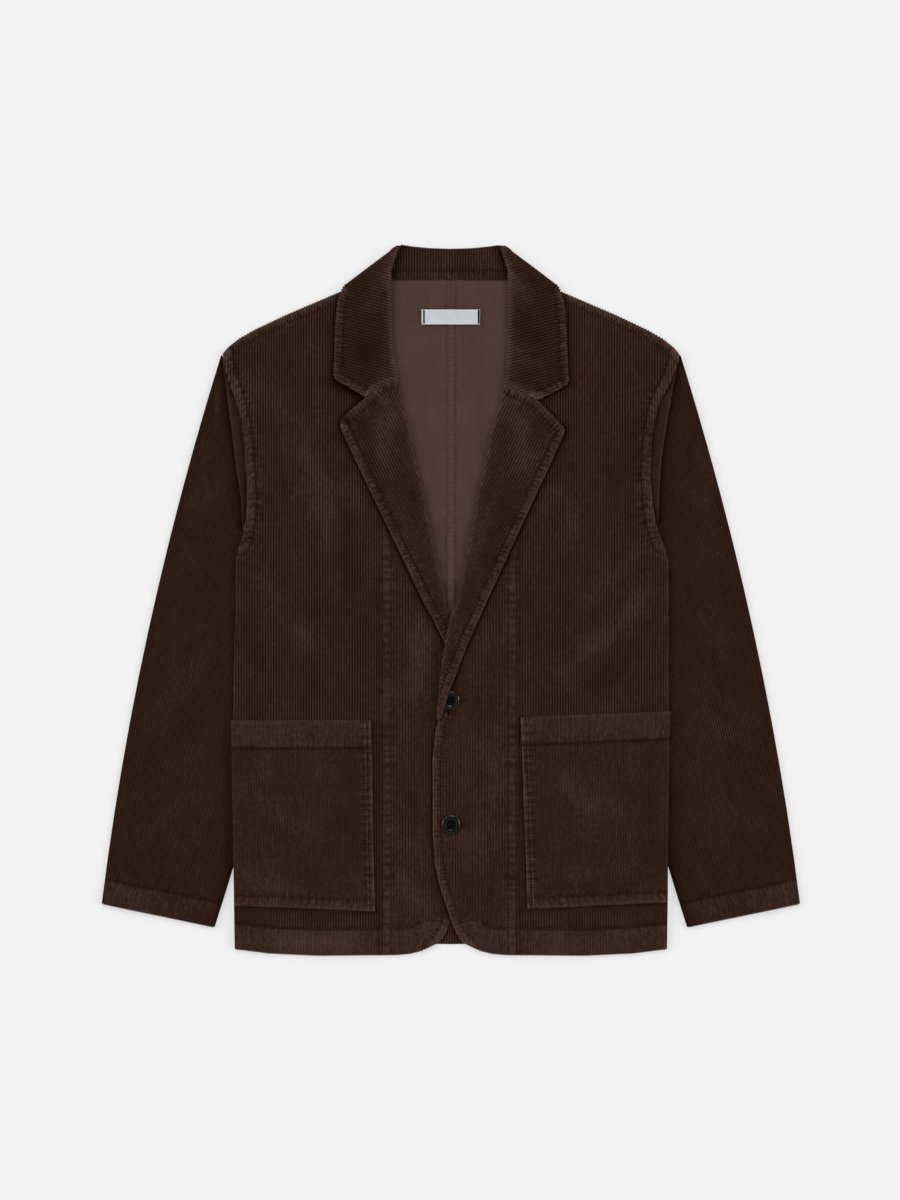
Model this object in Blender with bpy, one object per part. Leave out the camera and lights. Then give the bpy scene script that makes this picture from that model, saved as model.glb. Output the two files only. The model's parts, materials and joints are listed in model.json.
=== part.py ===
"""A single-breasted corduroy jacket, laid flat on its back with the sleeves tucked under its sides.

Sizes are millimetres. +X runs to the wearer's left, +Y to the collar, +Z away from the surface.
Both halves of the jacket are worked out in side space, where x grows from the centre line outward, and
SIDES places them. Each cloth piece is a plate: an outline with an upper and a lower surface, which are
functions of x and y. A level function says how high each layer lies, and each layer is built from the
level of the one under it. Wales are raised in the upper surface by straight crest and groove lines.
"""

import math

import bpy
from mathutils import Vector
from mathutils.geometry import delaunay_2d_cdt

MM = 0.001
SIDES = {"right": -1, "left": 1}  # the wearer's

# Cloth
PLAIN = 1.2  # one cloth without its pile
WALE = 0.8  # height of a wale over its groove
PITCH = 3.04  # 8 wales to the inch, a little shrunk
COLLAR_PITCH = 3.3  # eased by the roll
RIBBED = PLAIN + WALE
DOUBLE = 2.0  # the lapels and collar are two cloths, pressed together
GAP = 0.3
MERGE = 0.05  # points of an outline that are nearer than this are one
AIR = 1.2  # between the inside of the back and the fronts

# Body
PRINCESS = {"right": 80.5, "left": 77.5}
NECK_POINT = (70.0, 368.5)
BACK_NECK = 360.0
BACK_HEM = -387.3
FELLED_SEAM = 3.4  # half the width of the felled seam at the centre back
FELLED_RISE = 0.6
# (x, y) along the shoulder, from the neck
SHOULDER = [NECK_POINT, (136, 342), (185, 321), (221, 304), (240, 293), (251, 284), (256.3, 277.5)]
# y, x of the seam on the wearer's right and left, width of the sleeve head's fold outside it
ARMHOLE = [
    (266, 255.8, 255.6, 1.2),
    (242, 248.5, 245.6, 4.5),
    (220, 241.8, 234.8, 10.0),
    (197, 236.1, 229.3, 12.2),
    (170, 233.0, 226.2, 11.0),
    (140, 231.0, 225.1, 9.5),
    (112, 229.4, 226.8, 7.0),
    (90, 230.5, 229.5, 4.5),
]
# y, x of the body's side on the wearer's right and left
SIDE = [
    (70, 234.5, 235.5),
    (56, 239.5, 241.7),
    (44, 241.2, 244.3),
    (22, 242.0, 244.4),
    (-100, 244.0, 244.4),
    (-330, 243.8, 243.8),
]
# y, x on the wearer's right and left: the collar and lapel roll, then the front edge below the break
FRONT_EDGE = [
    (366, 67.3, 64.3),
    (338, 67.3, 65.2),
    (300, 66.9, 64.6),
    (270, 63.6, 63.2),
    (248, 59.2, 61.2),
    (225, 56.1, 57.8),
    (210, 51.6, 53.8),
    (190, 46.8, 46.3),
    (-3, 5.5, 6.9),
    (-19, 2.1, -0.9),
    (-48, -4.0, -6.6),
    (-84, -12.0, -11.9),
    (-112, -15.6, -14.5),
    (-139, -17.8, -16.2),
    (-180, -20.4, -20.6),
    (-262, -20.2, -20.2),
    (-294, -18.4, -18.4),
    (-322, -12.5, -12.5),
    (-343, -5.5, -5.5),
    (-361, 0.5, 0.5),
    (-375.5, 6.5, 6.5),
]
# (x, y) from the rounded front corner along the hem
HEM = [(13, -384.5), (22, -389.5), (33, -394.5), (46, -397.8), (60, -399.2)]
HEM += [(150, -400), (205, -397.4), (243, -392.6)]

# Sleeves
SHOULDER_CORNER = (258.5, 274.7)
CUFF_OUTER = (392.6, -341.8)
CUFF_INNER = (266.3, -368.2)
SLEEVE_BOW = 14.4  # how far the outer fold bows out of its chord
CUFF_BAND = 29.0
CUFF_RISE = 0.5
# y, x of the sleeve's inner fold, most of it under the body; above y = 90 it only leads the body's rise
SLEEVE_INNER = [(-420, 282), (-368.2, 266.3), (-180, 207), (45, 205), (70, 222), (90, 232), (130, 280)]
SLEEVE_AIR = 1.0
SLEEVE_LOFT = 1.8
LOFT_HALF = 38.0  # the loft is centred this far inside the outer fold
HEAD_RISE = 1.0
HEAD_FADE = (92.0, 112.0)  # y over which the sleeve head's rolled fold comes up, above the underarm
SLEEVE_WALES = 134.0  # the wales stop this far inside the outer fold, under the body
SLEEVE_TOP = PLAIN + SLEEVE_AIR + RIBBED
# the body's rise over a sleeve: distance inside the sleeve's inner fold, share of the rise
SLEEVE_RAMP = [(8, 1.0), (20, 0.8), (36, 0.2), (48, 0.0)]
SLEEVE_LIFT = SLEEVE_TOP + GAP

# Collar
FALL = 1.5  # the part of the collar behind the back
FALL_LIFT = FALL + GAP
FALL_DEPTH = (338.0, 100.0, 0.55)  # the fall's lower edge: its y, half width of the straight part, slope
FALL_RAMP = (6.0, 22.0)
STAND_FOOT = 361.8
STAND_LEVEL = FALL + 0.4
# (x, y) up the leaf's outer edge, then along the crease over the shoulder and the stand's top
LEAF_EDGE = [(131.9, 254), (130.7, 281.5), (130.0, 304), (128.5, 326.5), (126.5, 338), (122, 351.2)]
CREASE = [(119, 355), (94.5, 373.7), (70.3, 391.7)]
STAND_TOP = [(66, 396), (61.5, 398.8), (54, 400), (46, 398.3), (23.5, 396), (0, 395.3)]
# y of the line where the stand goes under the leaf's roll, and how far inside the roll's top it lies
STAND_SIDE = [(350, 0.0), (370, 0.0), (392.5, 7.0), (402, 12.5)]
STAND_DROP = 2.5  # width of the slope from the leaf to the stand
CREASE_DROP = 4.0
CREASE_ROUND = 9.0

# Lapels, in (x, y): up the outer edge from the break, round the point, then along the notch and gorge
LAPEL_EDGE = {
    "right": [(-7.6, -79), (7.1, -48.2), (20.1, -22.3), (30.2, -4.3), (122.3, 189)],
    "left": [(-13.2, -136), (-9.4, -129.2), (-4.9, -112.3), (0.2, -97.6), (8, -78.5)]
    + [(17, -53.8), (28.3, -29), (40.7, -0.9), (127, 185.5)],
}
LAPEL_POINT = {"right": [(124.2, 196), (123.6, 203.9)], "left": [(128.2, 191.5), (125, 196.3)]}
GORGE = {
    "right": [(95.7, 227.8), (82, 241), (66.5, 247.4)],
    "left": [(98.3, 224), (77.8, 234.2)],
}
GORGE_END = {"right": 247.8, "left": 243.2}  # y where the gorge meets the roll
NOTCH = {"right": [(129.2, 247.7), (131.6, 251)], "left": [(130.7, 242.1), (132.6, 247)]}
BREAK = {"right": -84.0, "left": -139.0}
LAPEL_GRAIN = math.radians(24.5)  # the wales' lean, outward as they rise
ROLL = 3.4  # width of the roll that hangs over the front's edge
# height above the break, and the width of the roll or the inset of the front's edge behind it
ROLL_WIDTH = [(0.0, 0.0), (12.0, ROLL)]
FRONT_INSET = [(-4.0, 0.0), (10.0, ROLL + GAP)]
ROLL_ROUND = 1.6
UNDER_LAPEL = {"from": -90.0, "to": -125.0}  # y where the upper front comes down off the lower lapel

# Pockets: (x, y) of the corners
POCKET = {
    "right": {"top": ((89.8, -135.4), (247.2, -135.4)), "bottom": ((85.6, -349.7), (243.5, -343.2))},
    "left": {"top": ((78.6, -132.0), (246.3, -125.2)), "bottom": ((86.3, -347.2), (243.0, -339.5))},
}
POCKET_BAND = 31.5
POCKET_WALES = 52
BAND_RISE = 0.6

# Buttons
BUTTON_D = 20.6
BUTTON_H = 3.0
BUTTON_RIM = 2.6
BUTTON_DISH = 0.8
BUTTON_HOLE_D = 2.0
BUTTON_HOLE_PITCH = 4.2
BUTTONS = {"upper": (-0.6, -112.3), "lower": (0.2, -251.8)}
BUTTON_SIDES = 24
BUTTON_SLOPE = (BUTTON_D / 2 + 1.0, BUTTON_D / 2 + 5.0)  # where the lapel over the button comes down

LABEL = {"x": (-33.0, 32.8), "y": (310.2, 327.0), "thickness": 1.0}

# Colours of the cloths, the button and the label, with their roughness
BROWN = ((0.031, 0.014, 0.010), 0.9)
INSIDE = ((0.068, 0.037, 0.029), 0.9)
HORN = ((0.012, 0.010, 0.010), 0.25)
WHITE = ((0.55, 0.58, 0.62), 0.8)


def between(value, knots):
    """The value of a polyline of (place, value) pairs, whose places fall or rise."""
    if knots[0][0] > knots[-1][0]:
        knots = knots[::-1]
    if value <= knots[0][0]:
        return knots[0][1]
    for (a, p), (b, q) in zip(knots, knots[1:]):
        if value <= b:
            return p + (q - p) * (value - a) / (b - a)
    return knots[-1][1]


def column(table, side):
    """(y, x) pairs of a table that has a column for each side."""
    place = 1 if side == "right" else 2
    return [(row[0], row[place]) for row in table]


EDGE = {side: column(FRONT_EDGE, side) for side in SIDES}
SEAM = {side: column(ARMHOLE, side) for side in SIDES}
HEAD_FOLD = {side: [(y, x + row[3]) for (y, x), row in zip(SEAM[side], ARMHOLE)] for side in SIDES}


def mirrored(points, side):
    return [(SIDES[side] * x, y) for x, y in points]


# ---- Levels: how high each layer lies, at (x, y) in side space ----


def fall_edge(x):
    y, half, slope = FALL_DEPTH
    return y + max(0.0, abs(x) - half) * slope


def rise(x, y):
    """The back's lift over the tucked sleeve and over the collar's fall."""
    over_sleeve = SLEEVE_LIFT * between(between(y, SLEEVE_INNER) - abs(x), SLEEVE_RAMP)
    near, far = FALL_RAMP
    over_fall = FALL_LIFT * between(y - fall_edge(x), [(-far, 0.0), (-near, 1.0)])
    return over_sleeve + over_fall


def back_top(x, y):
    return rise(x, y) + PLAIN


def lower_front(x, y):
    """Underside of the wearer's right front, and of the left one where nothing lies between."""
    return back_top(x, y) + AIR


def past_lower_front(x, y):
    """How far a place on the wearer's left front lies past the right front's edge."""
    return x + between(y, EDGE["right"])


def upper_front(x, y):
    """Underside of the wearer's left front, which laps over the right one and the end of its lapel."""
    lap = between(past_lower_front(x, y), LAP_RAMP)
    on_lapel = between(y, [(UNDER_LAPEL["to"], 0.0), (UNDER_LAPEL["from"], 1.0)])
    return lower_front(x, y) + lap * (RIBBED + GAP + on_lapel * (DOUBLE + WALE + 2 * GAP))


LAP_RAMP = [(1.5, 1.0), (26.0, 0.0)]
FRONT_LEVEL = {"right": lower_front, "left": upper_front}


def crest(side, x, y):
    """The top of the front's wales."""
    return FRONT_LEVEL[side](x, y) + RIBBED


# ---- Lines: where a surface bends ----


def ramp_lines(guide, ramp):
    """Lines along a ramp beside a guide of (y, x), and across it where the guide bends."""
    along = [[(x + d, y) for y, x in guide] for d, _ in ramp]
    across = [[(x + ramp[0][0], y), (x + ramp[-1][0], y)] for y, x in guide[1:-1]]
    return along + across


def sleeve_ramp_lines():
    return ramp_lines(SLEEVE_INNER, [(-d, share) for d, share in SLEEVE_RAMP])


def fall_line(down):
    """The edge of the collar's fall, moved down."""
    beyond, half = 170.0, FALL_DEPTH[1]
    return [(x, fall_edge(x) - down) for x in (-beyond, -half, half, beyond)]


def fall_ramp_lines():
    half = FALL_DEPTH[1]
    across = [[(x, fall_edge(x) - d) for d in FALL_RAMP] for x in (-half, half)]
    return [fall_line(d) for d in FALL_RAMP] + across


def lap_lines():
    """Bends of the left front where it comes down off the right one."""
    level = [[(-40.0, y), (60.0, y)] for y in UNDER_LAPEL.values()]
    return ramp_lines([(y, -x) for y, x in EDGE["right"]], LAP_RAMP) + level


def level_lines(side):
    return sleeve_ramp_lines() + fall_ramp_lines() + (lap_lines() if side == "left" else [])


def zigzag(place, pitch):
    """1 on a crest line, 0 on a groove line; crests lie at whole numbers of pitches."""
    return abs(1.0 - 2.0 * ((place / pitch) % 1.0))


def halves(low, high, pitch):
    """Places of the crest and groove lines between two limits."""
    step = pitch / 2
    return [k * step for k in range(math.ceil(low / step), math.floor(high / step) + 1)]


def upright_wales(low, high):
    """Lines of wales along y, and their relief."""
    lines = [[(x, -450.0), (x, 450.0)] for x in halves(low, high, PITCH)]
    return lines, lambda x, y: WALE * zigzag(x, PITCH)


# ---- Plates ----


def inside(point, ring):
    x, y = point
    odd = False
    for (ax, ay), (bx, by) in zip(ring, ring[1:] + ring[:1]):
        if (ay > y) != (by > y) and x < ax + (bx - ax) * (y - ay) / (by - ay):
            odd = not odd
    return odd


def crossings(line, ring):
    """Where a polyline crosses a closed ring: (place on the line, place on the ring, point)."""
    found = []
    for i, ((ax, ay), (bx, by)) in enumerate(zip(line, line[1:])):
        for j, ((cx, cy), (dx, dy)) in enumerate(zip(ring, ring[1:] + ring[:1])):
            turn = (bx - ax) * (dy - cy) - (by - ay) * (dx - cx)
            if abs(turn) < 1e-9:
                continue
            s = ((cx - ax) * (dy - cy) - (cy - ay) * (dx - cx)) / turn
            t = ((cx - ax) * (by - ay) - (cy - ay) * (bx - ax)) / turn
            if -1e-9 <= s < 1 and -1e-9 <= t <= 1 + 1e-9:
                found.append((i + s, j + t, (ax + s * (bx - ax), ay + s * (by - ay))))
    return sorted(found)


def clipped(line, ring):
    """The runs of a polyline inside a ring."""
    stops = [(float(i), p) for i, p in enumerate(line)]
    stops += [(at, p) for at, _, p in crossings(line, ring)]
    stops.sort()
    runs, run = [], []
    for (_, here), (_, there) in zip(stops, stops[1:]):
        if math.dist(here, there) < 1e-4:
            continue
        if inside(((here[0] + there[0]) / 2, (here[1] + there[1]) / 2), ring):
            run = run or [here]
            run.append(there)
        elif run:
            runs.append(run)
            run = []
    return runs + [run] if run else runs


def triangles(ring, lines):
    """Triangles inside a ring, with an edge along each line: (points, corners, the ring's numbers)."""
    points = [Vector(p) for p in ring]
    edges = [(i, (i + 1) % len(ring)) for i in range(len(ring))]
    numbers = {p: i for i, p in enumerate(ring)}
    for line in lines:
        for run in clipped(line, ring):
            places = []
            for p in run:
                known = p if p in numbers else min(ring, key=lambda q: math.dist(p, q))
                if math.dist(p, known) > 1.5 * MERGE:
                    known = p
                    numbers[p] = len(points)
                    points.append(Vector(p))
                places.append(numbers[known])
            edges += [e for e in zip(places, places[1:]) if e[0] != e[1]]
    found, _, corners, origins, _, _ = delaunay_2d_cdt(points, edges, [], 1, 1e-5)
    place_of = {origin: i for i, group in enumerate(origins) for origin in group}
    return [tuple(p) for p in found], corners, [place_of[i] for i in range(len(ring))]


def sides_with(outline, lines):
    """The sides of an anticlockwise outline, each a list of its start and the places where lines cross it."""
    sides = [[corner] for corner in outline]
    cuts = sorted((at, p) for line in lines for _, at, p in crossings(line, outline))
    for at, p in cuts:
        number = min(int(at), len(outline) - 1)
        end = outline[(number + 1) % len(outline)]
        if min(math.dist(p, sides[number][-1]), math.dist(p, end)) > MERGE:
            sides[number].append(p)
    return sides


def anticlockwise(outline):
    area = sum(a[0] * b[1] - b[0] * a[1] for a, b in zip(outline, outline[1:] + outline[:1]))
    return outline if area > 0 else outline[::-1]


def add_mesh(name, points, faces, look):
    mesh = bpy.data.meshes.new(name)
    mesh.from_pydata([(x * MM, y * MM, z * MM) for x, y, z in points], [], faces)
    mesh.validate()
    mesh.materials.append(material(look))
    thing = bpy.data.objects.new(name, mesh)
    bpy.context.scene.collection.objects.link(thing)
    return thing


def material(look):
    colour, roughness = look
    name = f"look_{int(colour[0] * 1000)}_{int(roughness * 100)}"
    found = bpy.data.materials.get(name)
    if found:
        return found
    made = bpy.data.materials.new(name)
    made.use_nodes = True
    shader = made.node_tree.nodes["Principled BSDF"]
    shader.inputs["Base Color"].default_value = (*colour, 1)
    shader.inputs["Roughness"].default_value = roughness
    return made


def plate(name, outline, top, bottom, look, over=(), under=()):
    """A closed body between two surfaces; over and under are the lines that each has edges along."""
    outline = anticlockwise(outline)
    points, faces, rims = [], [], []
    for surface, lines, up in ((top, over, True), (bottom, under, False)):
        sides = sides_with(outline, lines)
        flat, corners, numbers = triangles([p for side in sides for p in side], lines)
        start = len(points)
        points += [(x, y, surface(x, y)) for x, y in flat]
        for corner in corners:
            a, b, c = (start + i for i in corner)
            faces.append((a, b, c) if up else (c, b, a))
        numbers = iter(numbers)
        rims.append([[start + next(numbers) for _ in side] for side in sides])
    upper, lower = rims
    for k in range(len(outline)):
        following = (k + 1) % len(outline)
        foot = lower[k] + lower[following][:1]
        head = upper[k] + upper[following][:1]
        faces.append((*foot, *head[::-1]))
    return add_mesh(name, points, faces, look)


def side_plate(name, side, outline, top, bottom, look, over=(), under=()):
    """A plate whose outline, lines and levels are in side space."""
    sign = SIDES[side]
    return plate(
        name,
        mirrored(outline, side),
        lambda x, y: top(sign * x, y),
        lambda x, y: bottom(sign * x, y),
        look,
        [mirrored(line, side) for line in over],
        [mirrored(line, side) for line in under],
    )


# ---- Outlines ----


def body_side(side):
    """The body's outer edge, up the side and round the armhole, without its ends."""
    return [(x, y) for y, x in column(SIDE, side)[::-1] + SEAM[side][::-1]]


def edge_points(side, low, high, inset=lambda y: 0.0):
    """The front edge or roll from low to high, moved outward by an inset."""
    bends = [y for y, _ in EDGE[side]] + [BREAK[side] + h for h, _ in ROLL_WIDTH + FRONT_INSET]
    ys = sorted({low, high, *(y for y in bends if low < y < high)})
    return [(between(y, EDGE[side]) + inset(y), y) for y in ys]


def roll_width(side, y):
    """Width of the roll, which runs out at the break."""
    return between(y - BREAK[side], ROLL_WIDTH)


def front_inset(side, y):
    return between(y - BREAK[side], FRONT_INSET)


def shoulder_at(x):
    return between(x, SHOULDER)


# ---- Pieces ----


def make_back(side):
    neck = EDGE[side][0][1] + ROLL + GAP
    outline = [(GAP / 2, BACK_HEM), (243.0, BACK_HEM + 3), *body_side(side)]
    outline += [p for p in SHOULDER[::-1] if p[0] > neck]
    outline += [(neck, shoulder_at(neck)), (neck, BACK_NECK), (GAP / 2, BACK_NECK)]
    lines = level_lines("right")
    felled = [[(FELLED_SEAM + d, -450.0), (FELLED_SEAM + d, 450.0)] for d in (0.0, 0.3)]

    def top(x, y):
        return back_top(x, y) + FELLED_RISE * between(x - FELLED_SEAM, [(0.0, 1.0), (0.3, 0.0)])

    side_plate(f"back_{side}", side, outline, top, rise, INSIDE, lines + felled, lines)


def make_side_front(side):
    level = FRONT_LEVEL[side]
    seam = PRINCESS[side]
    hem = [p for p in HEM if p[0] > seam]
    outline = [(seam, between(seam, HEM)), *hem, *body_side(side)]
    outline += [p for p in SHOULDER[::-1] if p[0] > seam] + [(seam, shoulder_at(seam))]
    wales, relief = upright_wales(seam, 260.0)
    bends = level_lines(side)
    side_plate(
        f"side_front_{side}",
        side,
        outline,
        lambda x, y: level(x, y) + PLAIN + relief(x, y),
        level,
        BROWN,
        wales + bends,
        bends,
    )


def make_centre_front(side):
    level = FRONT_LEVEL[side]
    seam = PRINCESS[side] - GAP
    inner = edge_points(side, EDGE[side][-1][0], EDGE[side][0][0], lambda y: front_inset(side, y))
    outline = [p for p in HEM if p[0] < seam] + [(seam, between(seam, HEM)), (seam, shoulder_at(seam))]
    outline += [(inner[-1][0], NECK_POINT[1])] + inner[::-1]
    wales, relief = upright_wales(-25.0, seam)
    bends = level_lines(side)
    side_plate(
        f"centre_front_{side}",
        side,
        outline,
        lambda x, y: level(x, y) + PLAIN + relief(x, y),
        level,
        BROWN,
        wales + bends,
        bends + wales[::4],
    )


def roll_profile(side, x, y, level, round_off):
    """(underside, top without wales) of a lapel or collar leaf near its roll."""
    d = x - between(y, EDGE[side])
    width = roll_width(side, y)
    under = between(d, [(width - 0.3, level(x, y)), (width, crest(side, x, y) + GAP)])
    top = crest(side, x, y) + GAP + DOUBLE - round_off * max(0.0, 1 - d / 5.0) ** 2
    return under, top


def roll_lines(side, low, high):
    """Bends of the underside at the inner edge of the roll, and of the top along its rounding."""
    inner = [edge_points(side, low, high, lambda y, d=d: roll_width(side, y) - d) for d in (0.3, 0.0)]
    outer = [edge_points(side, low, high, lambda y, d=d: d) for d in (1.5, 5.0)]
    return inner, outer


def circle(radius, count, x=0.0, y=0.0):
    turns = [math.tau * k / count for k in range(count)]
    return [(x + radius * math.cos(a), y + radius * math.sin(a)) for a in turns]


def button_base(place):
    """A button lies on the highest wale under it, where its shank holds it."""
    return GAP + max(crest("left", x, y) for x, y in circle(BUTTON_D / 2, BUTTON_SIDES, *place))


def over_button(x, y):
    """The lift of the lapel's end where it lies on the upper button."""
    place = BUTTONS["upper"]
    lift = button_base(place) + BUTTON_H - crest("left", x, y)
    return lift * between(math.dist((x, y), place), list(zip(BUTTON_SLOPE, (1.0, 0.0))))


def button_rings():
    rings = [circle(radius, BUTTON_SIDES, *BUTTONS["upper"]) for radius in BUTTON_SLOPE]
    return [ring + ring[:1] for ring in rings]


def make_lapel(side):
    level = FRONT_LEVEL[side]
    low, high = BREAK[side] + 5.0, GORGE_END[side]
    outline = [*LAPEL_EDGE[side], *LAPEL_POINT[side], *GORGE[side], *edge_points(side, low, high)[::-1]]
    lean, run = math.sin(LAPEL_GRAIN), math.cos(LAPEL_GRAIN)

    def across(x, y):
        return x * run - y * lean

    def on_grain(place, along):
        return (place * run + along * lean, along * run - place * lean)

    wales = [[on_grain(u, -220.0), on_grain(u, 320.0)] for u in halves(-60.0, 60.0, PITCH)]
    lift = over_button if side == "left" else lambda x, y: 0.0

    def bottom(x, y):
        under, _ = roll_profile(side, x, y, level, ROLL_ROUND)
        past_roll = x - between(y, EDGE[side]) >= roll_width(side, y) - 0.01
        return under + (lift(x, y) if past_roll else 0.0)

    def top(x, y):
        _, above = roll_profile(side, x, y, level, ROLL_ROUND)
        return above + WALE * zigzag(across(x, y), PITCH) + lift(x, y)

    inner, outer = roll_lines(side, low, high)
    bends = level_lines(side) + (button_rings() if side == "left" else [])
    side_plate(f"lapel_{side}", side, outline, top, bottom, BROWN, wales + outer + bends, inner + bends)


def pocket_edges(side):
    """y, x of the pocket's inner and outer edges."""
    top, bottom = POCKET[side]["top"], POCKET[side]["bottom"]
    return [[(bottom[i][1], bottom[i][0]), (top[i][1], top[i][0])] for i in (0, 1)]


def ruled(ends, y):
    """x of a straight edge, given by (y, x) at its two ends, at any y."""
    (a, p), (b, q) = ends
    return p + (q - p) * (y - a) / (b - a)


def make_pocket(side):
    corners = POCKET[side]
    inner, outer = pocket_edges(side)
    outline = [*corners["bottom"], corners["top"][1], corners["top"][0]]
    (ax, ay), (bx, by) = corners["top"]

    def below_top(x, y):
        return ay + (by - ay) * (x - ax) / (bx - ax) - y

    def share(x, y):
        return (x - ruled(inner, y)) / (ruled(outer, y) - ruled(inner, y))

    def wale_line(u):
        return [(ruled(inner, y) + u * (ruled(outer, y) - ruled(inner, y)), y) for y in (-110.0, -370.0)]

    wales = [wale_line((k + 0.5) / (2 * POCKET_WALES)) for k in range(2 * POCKET_WALES)]

    def top(x, y):
        folded = between(below_top(x, y), [(POCKET_BAND, BAND_RISE), (POCKET_BAND + 0.6, 0.0)])
        wale = WALE * zigzag(share(x, y) * 2 * POCKET_WALES - 0.5, 2.0)
        return crest(side, x, y) + GAP + PLAIN + folded + wale

    band = [
        [(x, ay + (by - ay) * (x - ax) / (bx - ax) - POCKET_BAND - d) for x in (60.0, 270.0)]
        for d in (0.0, 0.6)
    ]
    bends = level_lines(side)
    side_plate(
        f"pocket_{side}",
        side,
        outline,
        top,
        lambda x, y: crest(side, x, y) + GAP,
        BROWN,
        wales + band + bends,
        bends,
    )


def sleeve_outer(y):
    """x of the sleeve's outer fold, a shallow bow over its chord."""
    (tx, ty), (cx, cy) = SHOULDER_CORNER, CUFF_OUTER
    s = (ty - y) / (ty - cy)
    return tx + (cx - tx) * s + 4 * SLEEVE_BOW * s * (1 - s)


def cuff_edge(x):
    (ox, oy), (ix, iy) = CUFF_OUTER, CUFF_INNER
    return oy + (iy - oy) * (x - ox) / (ix - ox)


def sleeve_loft(x, y):
    off_centre = min(1.0, abs(sleeve_outer(y) - x - LOFT_HALF) / LOFT_HALF)
    return SLEEVE_LOFT * math.cos(off_centre * math.pi / 2) ** 2


def make_sleeve(side):
    (tx, ty), (_, cy) = SHOULDER_CORNER, CUFF_OUTER
    steps = 12
    outer = [(sleeve_outer(ty + (cy - ty) * k / steps), ty + (cy - ty) * k / steps) for k in range(steps + 1)]
    inner = [(x, y) for y, x in SLEEVE_INNER if CUFF_INNER[1] <= y < 90]
    seam = [(x + GAP, y) for y, x in SEAM[side][::-1]]
    outline = [*inner, *seam, (SHOULDER[-1][0] + GAP, SHOULDER[-1][1]), *outer]
    angle = math.atan2(CUFF_OUTER[0] - tx, ty - cy)
    across = PITCH / math.cos(angle)
    rows = (300.0, 80.0, -140.0, -400.0)
    wales = [[(sleeve_outer(y) - d, y) for y in rows] for d in halves(across / 4, SLEEVE_WALES, across)]
    fold = HEAD_FOLD[side]

    def head(x, y):
        """The rolled fold of the sleeve head, beside the armhole seam."""
        share = between(y, [(HEAD_FADE[0], 0.0), (HEAD_FADE[1], 1.0)])
        return HEAD_RISE * share * between(between(y, fold) - x, [(0.0, 0.0), (1.0, 1.0)])

    def top(x, y):
        band = CUFF_RISE * between(y - cuff_edge(x), [(CUFF_BAND, 1.0), (CUFF_BAND + 0.6, 0.0)])
        inward = sleeve_outer(y) - x
        wale = WALE * zigzag(inward, across) if inward < SLEEVE_WALES else 0.0
        return PLAIN + SLEEVE_AIR + sleeve_loft(x, y) + PLAIN + head(x, y) + band + wale

    folds = [[(x - d, y) for y, x in fold] for d in (0.0, 1.0)]
    folds += [[(215.0, y), (245.0, y)] for y in HEAD_FADE]
    band = [[(x, cuff_edge(x) + CUFF_BAND + d) for x in (250.0, 400.0)] for d in (0.0, 0.6)]
    tube = side_plate(f"sleeve_{side}", side, outline, top, lambda x, y: 0.0, BROWN, wales + folds + band)

    wall = 1.8
    reach = 10.0
    hollow = [(x + wall, y) for x, y in inner] + [(between(90, SEAM[side]) + wall, 88.0)]
    hollow += [(x - reach, y) for y, x in SEAM[side][::-1]]
    hollow += [(x - wall, y) for x, y in outer[1:]]
    hollow += [(CUFF_OUTER[0], cy - reach), (CUFF_INNER[0] + 3.0, CUFF_INNER[1] - reach)]
    lofts = [[(sleeve_outer(y) - d, y) for y in rows] for d in (15.0, 30.0, 45.0, 60.0, 75.0, 90.0)]
    cutter = side_plate(
        f"hollow_{side}",
        side,
        hollow,
        lambda x, y: PLAIN + SLEEVE_AIR + sleeve_loft(x, y),
        lambda x, y: PLAIN,
        BROWN,
        lofts,
    )
    cut(tube, cutter)


def cut(thing, cutter):
    """Leaves the cutter as a wire guide of a Boolean on the thing."""
    hole = thing.modifiers.new("hollow", "BOOLEAN")
    hole.object = cutter
    hole.operation = "DIFFERENCE"
    cutter.hide_render = True
    cutter.display_type = "WIRE"


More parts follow.
